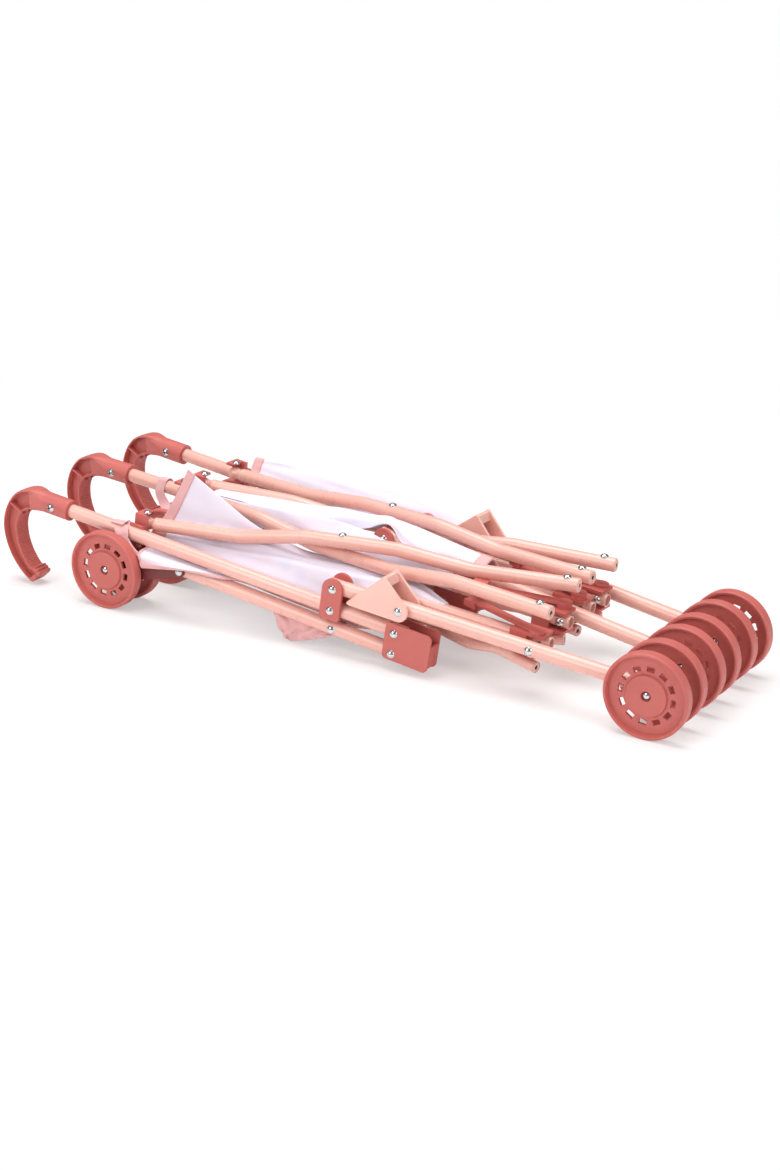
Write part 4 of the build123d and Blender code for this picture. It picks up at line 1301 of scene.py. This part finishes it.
@dataclass(frozen=True)
class Lamp:
    """Square soft lamp: place, point it faces and side in metres, power in watts."""

    name: str
    place: Point
    target: Point
    size: float
    power: float

    def build(self) -> None:
        """Hang the lamp and turn it to its target."""
        data = bpy.data.lights.new(self.name, "AREA")
        data.size = self.size
        data.energy = self.power
        lamp = linked(self.name, data)
        lamp.rotation_mode = "QUATERNION"
        lamp.rotation_quaternion = (Vector(self.place) - Vector(self.target)).to_track_quat("Z", "Y")
        lamp.location = self.place


@dataclass
class Studio:
    """Plain pale floor, soft light and the camera."""

    camera_place: Point = (0.8624, -1.3715, 0.6337)
    azimuth: float = 31.55
    elevation: float = 20.23
    roll: float = 1.116
    lens: float = 61.54
    frame_height: float = 36.0
    floor_size: float = 9.0
    floor_colour: tuple = (0.93, 0.92, 0.92, 1.0)
    fade: tuple[float, float] = (0.40, 0.95)
    least_white: float = 0.40
    surround: float = 0.26
    lamps: tuple[Lamp, ...] = (
        Lamp("overhead", (-0.2, 0.1, 2.2), (0.0, 0.0, 0.0), 1.8, 52.0),
        Lamp("front_fill", (-0.9, -2.2, 1.5), (0.0, 0.0, 0.05), 1.6, 30.0),
        Lamp("right_fill", (2.2, -0.6, 1.2), (0.1, 0.0, 0.05), 1.5, 19.0),
    )

    def camera(self) -> None:
        """Place the camera: it looks down by its elevation, turned from +Y by its azimuth, then rolled."""
        data = bpy.data.cameras.new("camera")
        data.lens = self.lens
        data.sensor_width = self.frame_height
        data.clip_end = 50.0
        camera = linked("camera", data)
        look = turn("Z", self.azimuth) @ turn("X", 90 - self.elevation) @ turn("Z", self.roll)
        camera.matrix_world = Matrix(shift(*self.camera_place) @ look)
        bpy.context.scene.camera = camera

    def floor(self) -> None:
        """Pale floor that turns white to the camera with distance and keeps a soft part of the shadow."""
        half = self.floor_size / 2
        mesh = bpy.data.meshes.new("floor")
        corners = [(-half, -half, 0.0), (half, -half, 0.0), (half, half, 0.0), (-half, half, 0.0)]
        mesh.from_pydata(corners, [], [(0, 1, 2, 3)])
        floor = linked("floor", mesh)
        kit = NodeKit.for_material("pale_floor")
        diffuse = kit.node("ShaderNodeBsdfDiffuse", {}, {"Color": self.floor_colour}, "BSDF")
        white = kit.node("ShaderNodeEmission", {}, {"Color": WHITE, "Strength": 1.0}, "Emission")
        seen = kit.node("ShaderNodeLightPath", out="Is Camera Ray")
        spot = kit.coords(Coords.OBJECT)
        reach = kit.node("ShaderNodeVectorMath", {"operation": "LENGTH"}, {0: spot}, "Value")
        share = kit.span(reach, self.fade, (self.least_white, 1.0), "SMOOTHSTEP")
        mixed = kit.node("ShaderNodeMixShader", {}, {0: seen * share, 1: diffuse, 2: white})
        kit.node("ShaderNodeOutputMaterial", {}, {"Surface": mixed})
        mesh.materials.append(kit.owner)

    def light(self) -> None:
        """Soft overhead light, broad fills and a surround that is white to the camera."""
        for lamp in self.lamps:
            lamp.build()
        world = bpy.data.worlds.new("surround")
        bpy.context.scene.world = world
        kit = NodeKit(world)
        seen = kit.node("ShaderNodeLightPath", out="Is Camera Ray")
        level = kit.span(seen, (0.0, 1.0), (self.surround, 1.0))
        back = kit.node("ShaderNodeBackground", {}, {"Color": WHITE, "Strength": level}, "Background")
        kit.node("ShaderNodeOutputWorld", {}, {"Surface": back})

    def build(self) -> None:
        """Set up floor, light, camera and view settings."""
        self.floor()
        self.light()
        self.camera()
        bpy.context.scene.view_settings.view_transform = "Standard"


@dataclass
class Metalwork:
    """The carried-over solids: tubes, plastic parts, rivets and wheels with their finishes."""

    nodes: dict
    slots: dict[str, str]
    finishes: dict[str, bpy.types.Material]

    def dress(self) -> None:
        """Give each node the finish of its slot."""
        for name, node in self.nodes.items():
            material = self.finishes[self.slots[name]]
            node.data.materials.clear()
            node.data.materials.append(material)
            LOG.info("dressed %s with %s", name, material.name)


def main() -> None:
    """Build the stroller's dressing in order."""
    logging.basicConfig(level=logging.INFO, format="%(message)s")
    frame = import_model()
    nodes = frame["nodes"]
    slots = {part["node"]: part["material_slot"] for part in frame["record"]["subparts"]}
    finishes = Finishes().by_slot()
    # dark is the near-black painted shade for the plug bores and the screws' cross recesses
    red, dark = finishes["red_plastic"], finishes["dark_recess"]
    Metalwork(nodes, slots, finishes).dress()
    for side in Side:
        HookHandle(side, red, dark).build()
    Fittings(nodes, slots, finishes["chrome"], finishes["peach_plastic"], dark, finishes["peach_paint"],
             red).build()
    SeatCloth(finishes["lilac_cloth"], finishes["pink_tape"]).build()
    Studio().build()


if __name__ == "__main__":
    main()
